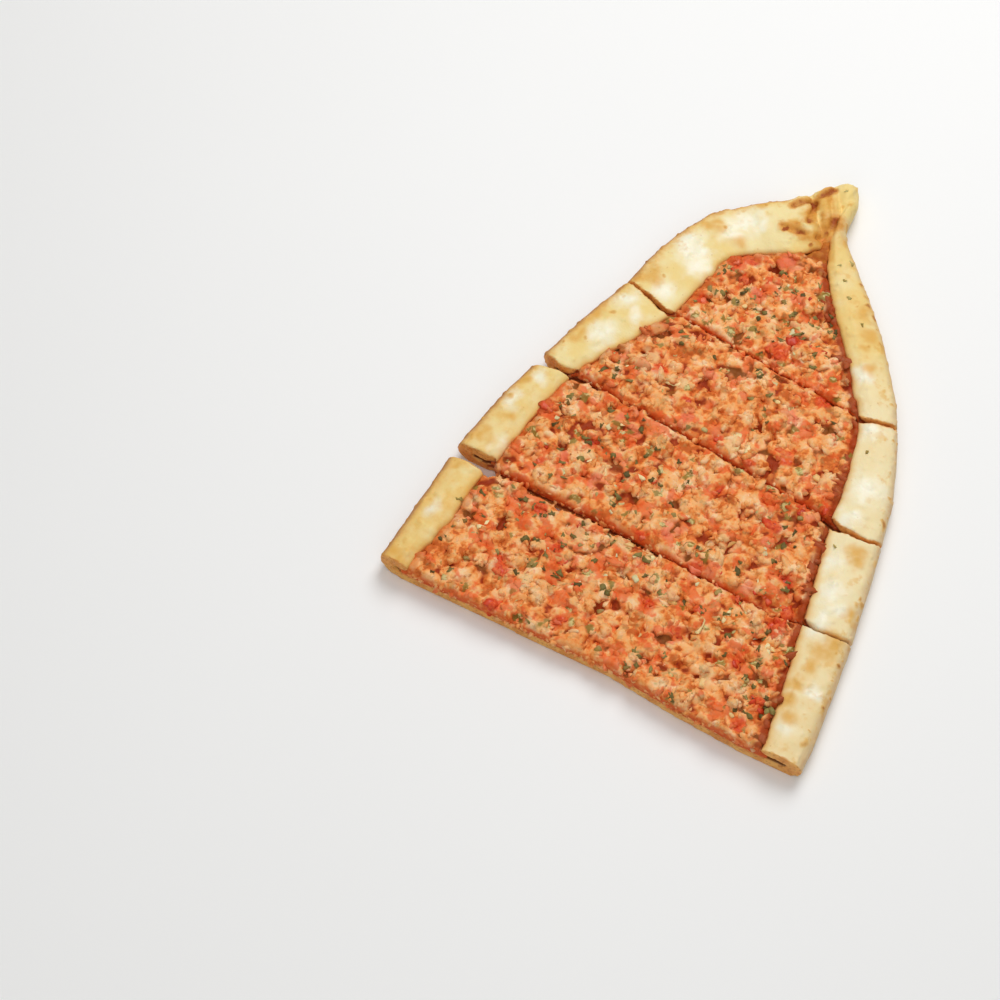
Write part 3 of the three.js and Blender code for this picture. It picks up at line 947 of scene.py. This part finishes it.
# %% Crumbs
CRUMB_SPACING = 3.0
CRUMB_SIZE = (0.8, 1.7)
NUGGET_SPACING = 6.5
NUGGET_SIZE = (1.5, 2.4)
FACE_SPACING = 2.6
FACE_TOP = 7.6  # on a cut face no crumb is laid above this height
LYING = 0.7  # no crumb leans further than this, in radians


def facing_up(points, directions):
    """Which points face the sky more than the sides."""
    return directions[:, 2] > 0.35


def crumbs(name):
    """The loose crumbs of one slice, as one piece."""
    def knife_face(points, directions):
        return (cutness(points, directions, name) > 0.8) & (points[:, 2] < FACE_TOP)

    small, small_way = places_on(name, facing_up, CRUMB_SPACING, 0.9, 0.2)
    large, large_way = places_on(name, facing_up, NUGGET_SPACING, 1.6, 0.8)
    sliced, sliced_way = places_on(name, knife_face, FACE_SPACING)
    radii = np.concatenate([
        draw.uniform(*CRUMB_SIZE, len(small)),
        draw.uniform(*NUGGET_SIZE, len(large)),
        draw.uniform(*CRUMB_SIZE, len(sliced)),
    ])
    sunk = np.concatenate([
        draw.uniform(0.3, 0.8, len(small)),
        draw.uniform(0.5, 0.8, len(large)),
        draw.uniform(0.8, 0.95, len(sliced)),
    ])
    ways = np.concatenate([small_way, large_way, sliced_way])
    places = np.concatenate([small, large, sliced]) - ways * (sunk * radii)[:, None]
    sizes = radii[:, None] * draw.uniform(0.75, 1.2, (len(radii), 3))
    numbers = {
        "tint": draw.uniform(0, 1, len(radii)),
        "oily": oily_at(places, name),
        "left": region(places, WEST),
        **stains_at(places),
    }
    return joined(f"mince_crumbs_{name}", GRAINS, places, turned(len(radii), LYING), sizes, numbers)


crumb_pieces = {name: crumbs(name) for name in SLICES}
print("crumb faces:", {name: len(piece.data.polygons) for name, piece in crumb_pieces.items()})

# %% [markdown]
# ## Tomato, pepper and onion
#
# Diced tomato and red pepper have gone soft: small lumps with a skin, slumped into the mat. Green
# pepper is cut finer, and onion has gone glassy and lies in short slips. Each starts as a block,
# because it was cut, and is bevelled, dented and smoothed until its edges are soft.

# %% Dice
def die(seed, stretch, rough):
    """A slumped, dented block, about 1 millimetre in radius."""
    bpy.ops.object.select_all(action="DESELECT")
    bpy.ops.mesh.primitive_cube_add(size=1.7 * MM)
    block = bpy.context.object
    bpy.ops.object.mode_set(mode="EDIT")
    bpy.ops.mesh.bevel(offset=0.42 * MM, segments=2, affect="EDGES")
    bpy.ops.transform.vertex_random(offset=rough * MM, uniform=0.4, normal=0.6, seed=seed)
    bpy.ops.mesh.vertices_smooth(factor=0.4, repeat=2)
    bpy.ops.transform.resize(value=stretch)
    bpy.ops.mesh.quads_convert_to_tris()
    bpy.ops.object.mode_set(mode="OBJECT")
    return shape_of(block)


RED_DICE = [die(seed, (1.3, 1.0, 0.6), 0.55) for seed in range(6)]
GREEN_DICE = [die(seed + 20, (1.5, 0.9, 0.55), 0.45) for seed in range(5)]
ONION_SLIPS = [die(seed + 40, (1.9, 0.8, 0.42), 0.45) for seed in range(4)]
print("die:", len(RED_DICE[0][1]), "faces")

# %% [markdown]
# ### Dice on the mat
#
# One die lies on each mark, as large as the mark says, and a few more lie in loose clusters, because a
# spoon never spreads a filling evenly. Each is sunk into the mat and leans a little.

# %% Dice on the mat
def under_marks(marks):
    """The topping's surface under each mark, and its directions there."""
    points = np.concatenate([points_of(piece) for piece in pastes.values()])
    directions = np.concatenate([directions_of(piece) for piece in pastes.values()])
    up = np.flatnonzero(directions[:, 2] > 0.5)
    found = [up[np.argmin(np.hypot(points[up, 0] - x, points[up, 1] - y))] for x, y, _ in marks]
    return points[found], directions[found]


def scatter_dice(name, shapes, marks, spacing, size, share, sunk, lean):
    """The same dice on all four slices, as one piece: one on each mark, and others in loose clusters."""
    marked, marked_ways = under_marks(marks) if marks else (np.zeros((0, 3)), np.zeros((0, 3)))
    places, ways = [marked], [marked_ways]
    for slice_name in SLICES:
        found, way = places_on(slice_name, facing_up, spacing, 1.3 * size[1], size[1])
        clustered = 2 * rise(hills(found, 13, 91), -0.35, 0.4)
        kept = draw.uniform(0, 1, len(found)) < share * clustered
        places.append(found[kept])
        ways.append(way[kept])
    places = np.concatenate(places)
    ways = np.concatenate(ways)
    radii = draw.uniform(*size, len(places))
    radii[:len(marks)] = [0.8 * radius for _, _, radius in marks]
    sizes = radii[:, None] * draw.uniform(0.75, 1.2, (len(places), 3))
    places = places - ways * (draw.uniform(*sunk, len(places)) * radii)[:, None]
    tints = {"tint": draw.uniform(0, 1, len(places))}
    return joined(name, shapes, places, turned(len(places), lean), sizes, tints)


tomato = scatter_dice("tomato_dice", RED_DICE, TOMATO, 7.0, (0.8, 1.5), 0.12, (0.4, 0.6), 0.3)
green = scatter_dice("green_pepper", GREEN_DICE, PEPPER, 5.0, (0.6, 1.2), 0.16, (0.2, 0.5), 0.5)
onion = scatter_dice("onion_slips", ONION_SLIPS, ONION, 6.0, (0.9, 1.5), 0.12, (0.3, 0.6), 0.3)
print("tomato, green, onion faces:", [len(piece.data.polygons) for piece in (tomato, green, onion)])

# %% [markdown]
# ## Parsley
#
# Chopped parsley is a thin curled scrap of leaf. A flat disc of a few faces is given a ragged edge,
# bent, and made thick with a Solidify modifier, so that it is a closed leaf and not a sheet of paper. A
# few scraps have fallen on the crust, most of them near the point.

# %% Parsley
def leaf(seed):
    """A thin, curled scrap of leaf, about 1 millimetre in radius."""
    bpy.ops.object.select_all(action="DESELECT")
    bpy.ops.mesh.primitive_circle_add(vertices=9, radius=MM, fill_type="TRIFAN")
    scrap = bpy.context.object
    bpy.ops.object.mode_set(mode="EDIT")
    bpy.ops.mesh.select_all(action="SELECT")
    bpy.ops.transform.resize(value=(1.25, 0.8, 1))
    bpy.ops.transform.vertex_random(offset=0.42 * MM, uniform=1, normal=0, seed=seed)
    bpy.ops.object.mode_set(mode="OBJECT")
    apply_modifier(scrap, "SOLIDIFY", thickness=0.22 * MM, offset=0)
    apply_modifier(scrap, "TRIANGULATE")
    return shape_of(scrap)


LEAVES = [leaf(seed) for seed in range(6)]
parsley = scatter_dice("parsley_scraps", LEAVES, [], 4.0, (0.6, 1.1), 0.16, (-0.3, 0.0), 0.4)

HERBS_ON_CRUST = [
    (19, 56), (11, 67), (14, 70), (15, 62), (27, 48), (1, 96), (2, 88), (4, 83), (-59, -69), (47, 4),
    (51, -31),
]
ABOVE = 30  # a height above all of the food, from which to look down
HERB_LIFT = 0.15  # a dry scrap touches the crust only here and there


def crust_height(x, y):
    """The top of the bread at a place, over all four slices."""
    hits = (BREAD_TREES[name].ray_cast(Vector((x, y, ABOVE)), Vector((0, 0, -1)))[0] for name in SLICES)
    return max(hit.z for hit in hits if hit is not None)


on_crust = np.array([(x, y, crust_height(x, y)) for x, y in HERBS_ON_CRUST])
on_crust[:, 2] += HERB_LIFT
lying = turned(len(on_crust), 0.2)
sizes = draw.uniform(0.5, 0.9, (len(on_crust), 1)) * np.ones((1, 3))
herbs = joined("herbs_on_crust", LEAVES, on_crust, lying, sizes, {"tint": draw.uniform(0, 1, len(on_crust))})
print("parsley, herbs:", [len(piece.data.polygons) for piece in (parsley, herbs)])

# %% [markdown]
# ## Writing a finish as arithmetic
#
# A finish is a small sum: this much brown here, less of it there. Drawn as nodes it is a maze, so one
# small class wraps a node's output and lets Python's own signs make the Math nodes.

# %% A wire between nodes
class Wire:
    """What comes out of a node. A sum or a product of wires adds a Math node."""

    def __init__(self, finish, socket):
        self.finish = finish
        self.socket = socket

    def joined_with(self, operation, first, second):
        return self.finish.node("ShaderNodeMath", {"operation": operation}, {0: first, 1: second})

    def __add__(self, other):
        return self.joined_with("ADD", self, other)

    def __sub__(self, other):
        return self.joined_with("SUBTRACT", self, other)

    def __rsub__(self, other):
        return self.joined_with("SUBTRACT", other, self)

    def __mul__(self, other):
        return self.joined_with("MULTIPLY", self, other)

    def over(self, other):
        """The larger of two."""
        return self.joined_with("MAXIMUM", self, other)

    def rise(self, low, high):
        """0 at low, 1 at high, with a soft step between."""
        settings = {"interpolation_type": "SMOOTHSTEP", "clamp": True}
        values = {"Value": self, "From Min": low, "From Max": high, "To Min": 0.0, "To Max": 1.0}
        if low > high:
            values.update({"From Min": high, "From Max": low, "To Min": 1.0, "To Max": 0.0})
        return self.finish.node("ShaderNodeMapRange", settings, values)

    __radd__ = __add__
    __rmul__ = __mul__


# %% [markdown]
# ### The material
#
# A second class holds the material. It makes any other node from its type, its settings and the values
# or wires of its sockets, and has a short name for each kind that food needs: noise for clouds, cells
# for pores, a mix of two colours, a ramp of several, and a bump. Colours that are laid over each other
# are written as a list, from the lowest to the uppermost.

# %% A finish
class Finish:
    """A material under construction."""

    def __init__(self, name):
        self.material = bpy.data.materials.new(name)
        self.material.use_nodes = True
        self.tree = self.material.node_tree
        self.tree.nodes.clear()
        self.place = self.node("ShaderNodeTexCoord", output="Object")

    def node(self, kind, settings=None, values=None, output=0):
        made = self.tree.nodes.new(kind)
        for name, value in (settings or {}).items():
            if name == "stops":
                self.set_stops(made.color_ramp, value)
            else:
                setattr(made, name, value)
        for name, value in (values or {}).items():
            if isinstance(value, Wire):
                self.tree.links.new(value.socket, made.inputs[name])
            else:
                made.inputs[name].default_value = value
        return Wire(self, made.outputs[output]) if made.outputs else None

    @staticmethod
    def set_stops(ramp, stops):
        for position, _ in stops[1:-1]:
            ramp.elements.new(position)
        for element, (position, shade) in zip(ramp.elements, stops):
            element.position = position
            element.color = shade

    def attribute(self, name):
        return self.node("ShaderNodeAttribute", {"attribute_name": name}, output="Fac")

    def noise(self, size, detail=3.0, roughness=0.55):
        """Cloudy noise with patches of about size millimetres."""
        values = {"Vector": self.place, "Scale": 1 / (size * MM), "Detail": detail, "Roughness": roughness}
        return self.node("ShaderNodeTexNoise", None, values)

    def cells(self, size):
        """The distance to the nearest of points about size millimetres apart."""
        values = {"Vector": self.place, "Scale": 1 / (size * MM)}
        return self.node("ShaderNodeTexVoronoi", {"feature": "F1"}, values, output="Distance")

    def mix(self, share, first, second):
        """The first colour where the share is 0, the second where it is 1."""
        return self.node("ShaderNodeMix", {"data_type": "RGBA"}, {0: share, 6: first, 7: second}, output=2)

    def layers(self, base, coats):
        """A colour with others laid over it in turn, each one by its own share."""
        for share, shade in coats:
            base = self.mix(share, base, shade)
        return base

    def ramp(self, share, stops):
        return self.node("ShaderNodeValToRGB", {"stops": stops}, {"Fac": share}, output="Color")

    def bump(self, height, depth):
        """A relief whose height of 1 stands depth millimetres high."""
        values = {"Strength": 1.0, "Distance": depth * MM, "Height": height}
        return self.node("ShaderNodeBump", None, values, output="Normal")

    def surface(self, values):
        shader = self.node("ShaderNodeBsdfPrincipled", None, values)
        self.node("ShaderNodeOutputMaterial", None, {"Surface": shader})
        return self.material


# %% [markdown]
# ### Colours
#
# The eye names a colour by how bright its three parts look, from 0 to 255. A shader counts light
# instead, so each part is turned to an amount of light.

# %% Colours
def colour(red, green, blue):
    """A colour as the eye names it, turned to the amounts of light that shaders count in."""
    def light(value):
        share = value / 255
        return share / 12.92 if share <= 0.04045 else ((share + 0.055) / 1.055) ** 2.4
    return (light(red), light(green), light(blue), 1.0)


def stops(*rows):
    """The stops of a ramp. Each row is a place from 0 to 1 and the three parts of the colour there."""
    return [(place, colour(*parts)) for place, *parts in rows]


print("gray of 128 is", round(colour(128, 128, 128)[0], 3))

# %% [markdown]
# ## The crust
#
# Baked dough is cream to yellow, deeper on the side that faced the fire, and paler on the east rims, which
# is partly painted highlight. Butter lies on it in paler, shining patches, whose paleness is partly painted
# highlight. Blisters are golden, and the outer edge and the folds brown; the folds' brown and the dark of
# the fold's slot are partly painted shade. Each of those is a mask with a soft, broken edge, laid over the
# cream in that order, so that the brown comes last, as in the oven. The knife's faces show a golden crumb,
# and the topping's oil has stained what it touches; in the cracks between slices that stain is darkened
# with painted shade.

# %% The crust's colours
CREAM = colour(245, 225, 164)
BUTTER_YELLOW = colour(243, 214, 138)
# the paleness of butter, partly a painted highlight
BUTTER_HIGHLIGHT = colour(250, 244, 218)
# the paler east rims, partly a painted highlight
PALE_RIGHT_HIGHLIGHT = colour(249, 231, 186)
SATURATED = colour(236, 178, 86)
SUNNED = colour(240, 192, 104)
TIP_YELLOW = colour(246, 216, 136)
GOLD = colour(231, 176, 82)
TOASTED = colour(204, 140, 74)
BROWN = colour(176, 100, 38)
FOLD_GOLD = colour(220, 150, 56)
FOLD_SHADE_BROWN = colour(158, 68, 6)
EDGE_LINE = colour(160, 98, 46)
# the painted shade in the fold's slot
SLOT_SHADE = colour(116, 60, 18)
CRUMB_GOLD = colour(242, 180, 94)
OILY_CRUMB = colour(226, 148, 66)
PINK_BROWN = colour(214, 160, 116)
OIL_STAIN = colour(218, 136, 66)
# juice stain, darkened with painted shade in the cracks
SOAKED_AND_SHADE = colour(150, 66, 20)
print("cream as light:", [round(part, 3) for part in CREAM[:3]])

# %% [markdown]
# ### The crust's finish
#
# The marks that were stored with the points say where each colour goes, and noise of two sizes breaks
# their borders. Buttered dough is smoother and has a thin shine on it. A little light goes into the
# crust, as into all bread, and a fine relief of pores keeps it from looking like plastic.

# %% The crust's finish
def crust_finish():
    f = Finish("crust_baked")
    outer = f.attribute("outer")
    left = f.attribute("left")
    butter = f.attribute("butter")
    blister = f.attribute("blister")
    inside = f.attribute("inside")
    patchy = f.noise(4.5, 4.0)
    fine = f.noise(0.9, 4.0, 0.65)
    golden = (f.attribute("golden") * 0.9).over(patchy.rise(0.54, 0.68) * outer.rise(12, 2) * 0.6)
    edge = (outer + (patchy - 0.5) * 5).rise(3.4, 0.4)
    line = (outer + (patchy - 0.5) * 3.0 + (fine - 0.5) * 1.6).rise(1.7, 0.3)
    line = line * (0.25 + left * 0.35 + (patchy - 0.5) * 1.2)
    folded = f.attribute("folded") + (fine - 0.5) * 0.4
    speck = f.cells(2.4).rise(0.16, 0.06) * patchy.rise(0.5, 0.62)
    crumb = f.mix(patchy.rise(0.4, 0.6), OILY_CRUMB, CRUMB_GOLD)
    base = f.layers(CREAM, [
        # plain dough, deeper or paler by region, and the butter on it
        (f.noise(14, 2.0).rise(0.42, 0.6), BUTTER_YELLOW),
        # the east rims painted paler, partly as highlight
        (f.attribute("pale") * 0.75, PALE_RIGHT_HIGHLIGHT),
        (f.attribute("sunned") * (0.35 + (patchy - 0.5) * 1.6), SUNNED),
        (f.attribute("tip") * 0.7, TIP_YELLOW),
        # butter, painted paler as well as shining: the pale is partly a painted highlight
        (butter * (0.55 + patchy * 0.8), BUTTER_HIGHLIGHT),
        # golden patches, and the browned outer edge
        (golden, GOLD),
        (left * (outer + (patchy - 0.5) * 8).rise(5.0, 1.0) * 0.7, SATURATED),
        (edge * (0.25 + left * 0.5), TOASTED),
        (line, f.mix(left, PINK_BROWN, EDGE_LINE)),
        # blisters, folds with painted shade in their creases, and what the topping's oil has touched
        (blister.rise(0.15, 0.6) * 0.7, GOLD),
        ((blister + (fine - 0.5) * 0.5).rise(0.45, 0.95) * 0.8, BROWN),
        (folded.rise(0.05, 0.5) * 0.85, FOLD_GOLD),
        # the dark of the creases: partly burnt dough, partly painted shade
        (folded.rise(0.45, 0.85) * 0.95, FOLD_SHADE_BROWN),
        (f.attribute("near") * 0.6, GOLD),
        (f.attribute("oily") * 0.75, OIL_STAIN),
        (speck * 0.25, BROWN),
        # the porous crumb on the knife's faces, painted shade in the slot of the fold, and the underside
        (f.attribute("cut") * 0.95, f.mix(f.cells(1.1).rise(0.5, 0.15) * 0.5, crumb, BROWN)),
        (inside.rise(0.05, 0.5) * 0.8, BROWN),
        (inside.rise(0.4, 1.0) * 0.85, SLOT_SHADE),
        # juice stain in the cracks between slices, darkened as painted shade
        ((f.attribute("stained") + (fine - 0.5) * 0.4).rise(0.1, 0.7), SOAKED_AND_SHADE),
        (f.attribute("under") * 0.8, f.mix(patchy.rise(0.45, 0.6), GOLD, TOASTED)),
    ])
    relief = fine * 0.5 + f.noise(2.4, 2.0) * 0.8 + f.cells(0.7) * 0.25
    roughness = 0.56 - butter * 0.2 + (fine - 0.5) * 0.16
    return f.surface({
        "Base Color": base,
        "Roughness": roughness,
        "Specular IOR Level": 0.28,
        "Coat Weight": butter * 0.3,
        "Coat Roughness": 0.3,
        "Subsurface Weight": 0.12,
        "Subsurface Radius": (1.0, 0.5, 0.25),
        "Subsurface Scale": 1.2 * MM,
        "Normal": f.bump(relief, 0.16),
    })


crust = crust_finish()
for piece in breads.values():
    piece.data.materials.append(crust)
print("nodes in the crust's finish:", len(crust.node_tree.nodes))

# %% [markdown]
# ## The mince's colour
#
# The mat is what shows between the crumbs: deep orange-red with oil in it, and darker down in the creases,
# which is partly painted shade. The crumbs are the same meat, paler where they stand up and dried, and
# each has a tint of its own. The meat's colour is written once, in mince(), and used for the mat and for
# the loose crumbs, so that the two can't be told apart.

# %% The mince's colour
# the paste down in the creases: partly its own colour, partly painted shade
PASTE_DEEP_AND_SHADE = colour(150, 42, 6)
PASTE_BROWN_AND_SHADE = colour(126, 70, 20)
PASTE_RED_AND_SHADE = colour(222, 112, 46)
# oil at the rim, with painted shade: darker along the east rims, which shade the topping more
CONTACT_OIL_AND_SHADE_LEFT = colour(204, 106, 44)
CONTACT_OIL_AND_SHADE_RIGHT = colour(162, 60, 16)
REDDISH = colour(238, 96, 42)
OLIVE = colour(178, 140, 82)
CRUMB_TINTS = stops(
    (0.00, 204, 102, 40), (0.16, 232, 128, 58), (0.32, 248, 160, 86), (0.48, 253, 180, 110),
    (0.64, 251, 186, 121), (0.80, 255, 195, 136), (1.00, 255, 211, 160),
)
BAKED_RED = colour(212, 52, 20)
BAKED_PINK = colour(240, 126, 92)
ONION_PALE = colour(246, 204, 146)


def mince(f, tint, deep):
    """The colour of baked mince: a tint for each crumb, redder and darker down in the creases, partly as
    painted shade.
    """
    fine = f.noise(1.0, 4.0, 0.6)
    middling = f.noise(3.4, 3.0)
    broad = f.noise(10, 2.0)
    share = tint * 0.8 + 0.1 + (fine - 0.5) * 0.2 + (middling - 0.5) * 2.2 + (broad - 0.5) * 1.4
    depth = deep + (fine - 0.5) * 0.15 + (middling - 0.5) * 0.3
    left = f.attribute("left")
    touching = (f.attribute("oily") + (fine - 0.5) * 0.5).rise(0.1, 0.8)
    return f.layers(f.ramp(share, CRUMB_TINTS), [
        (f.noise(5.5, 3.0).rise(0.51, 0.6) * 0.72, REDDISH),
        (f.noise(4.1, 4.0).rise(0.57, 0.67) * 0.5, OLIVE),
        (f.attribute("pale") * 0.7, ONION_PALE),
        (f.attribute("pink") * 0.7, BAKED_PINK),
        (f.attribute("red") * 0.9, f.mix(fine.rise(0.35, 0.65), BAKED_RED, REDDISH)),
        # darker and redder down in the creases: partly oily paste, partly painted shade
        (depth.rise(0.34, 0.5) * 0.75, PASTE_RED_AND_SHADE),
        # oil and painted shade where the topping meets the rim
        (touching * (0.9 - left * 0.45), f.mix(left, CONTACT_OIL_AND_SHADE_RIGHT, CONTACT_OIL_AND_SHADE_LEFT)),
        (depth.rise(0.45, 0.62) * 0.9, f.mix(broad.rise(0.5, 0.6), PASTE_DEEP_AND_SHADE, PASTE_BROWN_AND_SHADE)),
    ])


# %% [markdown]
# ## The mat and the crumbs
#
# Both have the same moist surface. The mat also shows bits of green, the faces that the knife left, its
# slumped edges, with painted shade down in the crack, and its flat end under the folds.

# %% The mat's and the crumbs' finishes
SLICED = colour(222, 96, 38)
SLICED_CRUMB = colour(248, 160, 86)
# painted shade down in the crack between slices
CRACK_SHADE_RED = colour(124, 36, 8)
FLAT_END = colour(196, 116, 42)
BAKED_GREEN = colour(134, 116, 42)
PALE_GREEN = colour(206, 204, 136)


def moist(f, base, fine, roughness, gloss, coat, light_depth):
    """The surface that the mat and the crumbs share. Light goes light_depth millimetres into it."""
    return f.surface({
        "Base Color": base,
        "Roughness": roughness + (fine - 0.5) * 0.3,
        "Specular IOR Level": gloss,
        "Coat Weight": coat,
        "Coat Roughness": 0.3,
        "Subsurface Weight": 0.15,
        "Subsurface Radius": (1.0, 0.4, 0.15),
        "Subsurface Scale": light_depth * MM,
        "Normal": f.bump(fine, 0.18),
    })


def paste_finish():
    f = Finish("mince_paste")
    fine = f.noise(0.8, 5.0, 0.65)
    patchy = f.noise(2.6, 3.0)
    edge = f.attribute("edge")
    sliced = f.mix(f.cells(1.9).rise(0.5, 0.2) * 0.5, SLICED, SLICED_CRUMB)
    base = f.layers(mince(f, f.attribute("tint"), f.attribute("deep")), [
        (f.attribute("green") * 0.8, f.mix(patchy.rise(0.54, 0.6), BAKED_GREEN, PALE_GREEN)),
        ((edge + (patchy - 0.5) * 0.8).rise(0.1, 0.5) * 0.6, SLICED),
        # painted shade at the foot of the slumped edge, down in the crack
        ((edge + (patchy - 0.5) * 0.6).rise(0.5, 0.95) * 0.85, CRACK_SHADE_RED),
        (f.attribute("cut") * 0.85, f.mix(fine.rise(0.42, 0.3) * 0.7, sliced, PASTE_DEEP_AND_SHADE)),
        (f.attribute("ended"), f.mix(patchy.rise(0.4, 0.6) * 0.45, FLAT_END, PASTE_DEEP_AND_SHADE)),
    ])
    return moist(f, base, fine, 0.56, 0.12, 0.02, 1.0)


def crumb_finish():
    f = Finish("mince_crumbs")
    fine = f.noise(0.8, 5.0, 0.65)
    base = mince(f, f.attribute("tint") * 0.45 + 0.24, f.noise(1.9, 3.0) - 0.24)
    return moist(f, base, fine, 0.52, 0.22, 0.03, 0.8)


mince_paste = paste_finish()
mince_crumbs = crumb_finish()
for name in SLICES:
    pastes[name].data.materials.append(mince_paste)
    crumb_pieces[name].data.materials.append(mince_crumbs)
print("nodes:", len(mince_paste.node_tree.nodes), "in the mat's finish,",
      len(mince_crumbs.node_tree.nodes), "in the crumbs'")

# %% [markdown]
# ## Vegetables and herbs
#
# Tomato is glossy and pinkish red, pepper olive to pale green, onion pale and glassy. Parsley is dark
# olive once baked, and lighter where it dried on the crust. They share one way to be coloured: a ramp
# that each bit enters at its own tint, with a mottle that shifts it a little from place to place.

# %% The vegetables' finishes
def vegetable_finish(name, tints, roughness, coat):
    """A moist vegetable whose colour runs through the tints from die to die."""
    f = Finish(name)
    mottled = f.noise(0.9, 4.0, 0.6)
    share = f.attribute("tint") + (mottled - 0.5) * 0.35
    return f.surface({
        "Base Color": f.ramp(share, tints),
        "Roughness": roughness + (mottled - 0.5) * 0.2,
        "Specular IOR Level": 0.32,
        "Coat Weight": coat,
        "Coat Roughness": 0.12,
        "Subsurface Weight": 0.2,
        "Subsurface Radius": (1.0, 0.4, 0.2),
        "Subsurface Scale": 1.0 * MM,
        "Normal": f.bump(mottled, 0.12),
    })


RED_STOPS = stops((0.0, 190, 48, 16), (0.4, 216, 68, 28), (0.75, 230, 96, 50), (1.0, 240, 128, 88))
GREEN_STOPS = stops((0.0, 126, 94, 34), (0.4, 176, 146, 78), (0.75, 210, 186, 122), (1.0, 226, 214, 164))
ONION_STOPS = stops((0.0, 234, 176, 98), (0.5, 244, 206, 138), (1.0, 250, 226, 168))
LEAF_STOPS = stops((0.0, 88, 74, 28), (0.5, 118, 104, 48), (1.0, 156, 140, 76))
BAKED_LEAF_STOPS = stops((0.0, 140, 116, 48), (0.6, 176, 154, 80), (1.0, 204, 186, 120))

for piece, name, tints, roughness, coat in [
    (tomato, "tomato_and_pepper", RED_STOPS, 0.45, 0.12),
    (green, "green_pepper", GREEN_STOPS, 0.5, 0.05),
    (onion, "onion_glassy", ONION_STOPS, 0.45, 0.08),
    (parsley, "parsley", LEAF_STOPS, 0.6, 0.0),
    (herbs, "parsley_baked", BAKED_LEAF_STOPS, 0.6, 0.0),
]:
    piece.data.materials.append(vegetable_finish(name, tints, roughness, coat))
    print(piece.name, "has the finish", name)

# %% [markdown]
# ## The floor's finish
#
# The floor is plain and pale, a little uneven in tone as painted board is, so that nothing on it draws
# the eye.

# %% The floor's finish
def floor_finish():
    f = Finish("floor_pale")
    soft = f.noise(300, 2.0)
    shade = f.mix(soft, colour(247, 247, 246), colour(251, 251, 250))
    return f.surface({"Base Color": shade, "Roughness": 0.6})


floor.data.materials.append(floor_finish())
print("finishes:", [material.name for material in bpy.data.materials])

# %% [markdown]
# ## Tying the pieces to the frame
#
# The slices are one body, so all pieces ride on it. Each slice's skin stands for its bread and each
# paste for its topping. The loose things only lie on them.

# %% Tie the pieces to the frame
for name in SLICES:
    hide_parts(f"bread_{name}")
    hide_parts(f"topping_{name}")
loose = [tomato, green, onion, parsley, herbs]
dressed = [*breads.values(), *pastes.values(), *crumb_pieces.values(), *loose]
for piece in dressed:
    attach(piece, "root")
print("pieces on the body:", len(dressed))
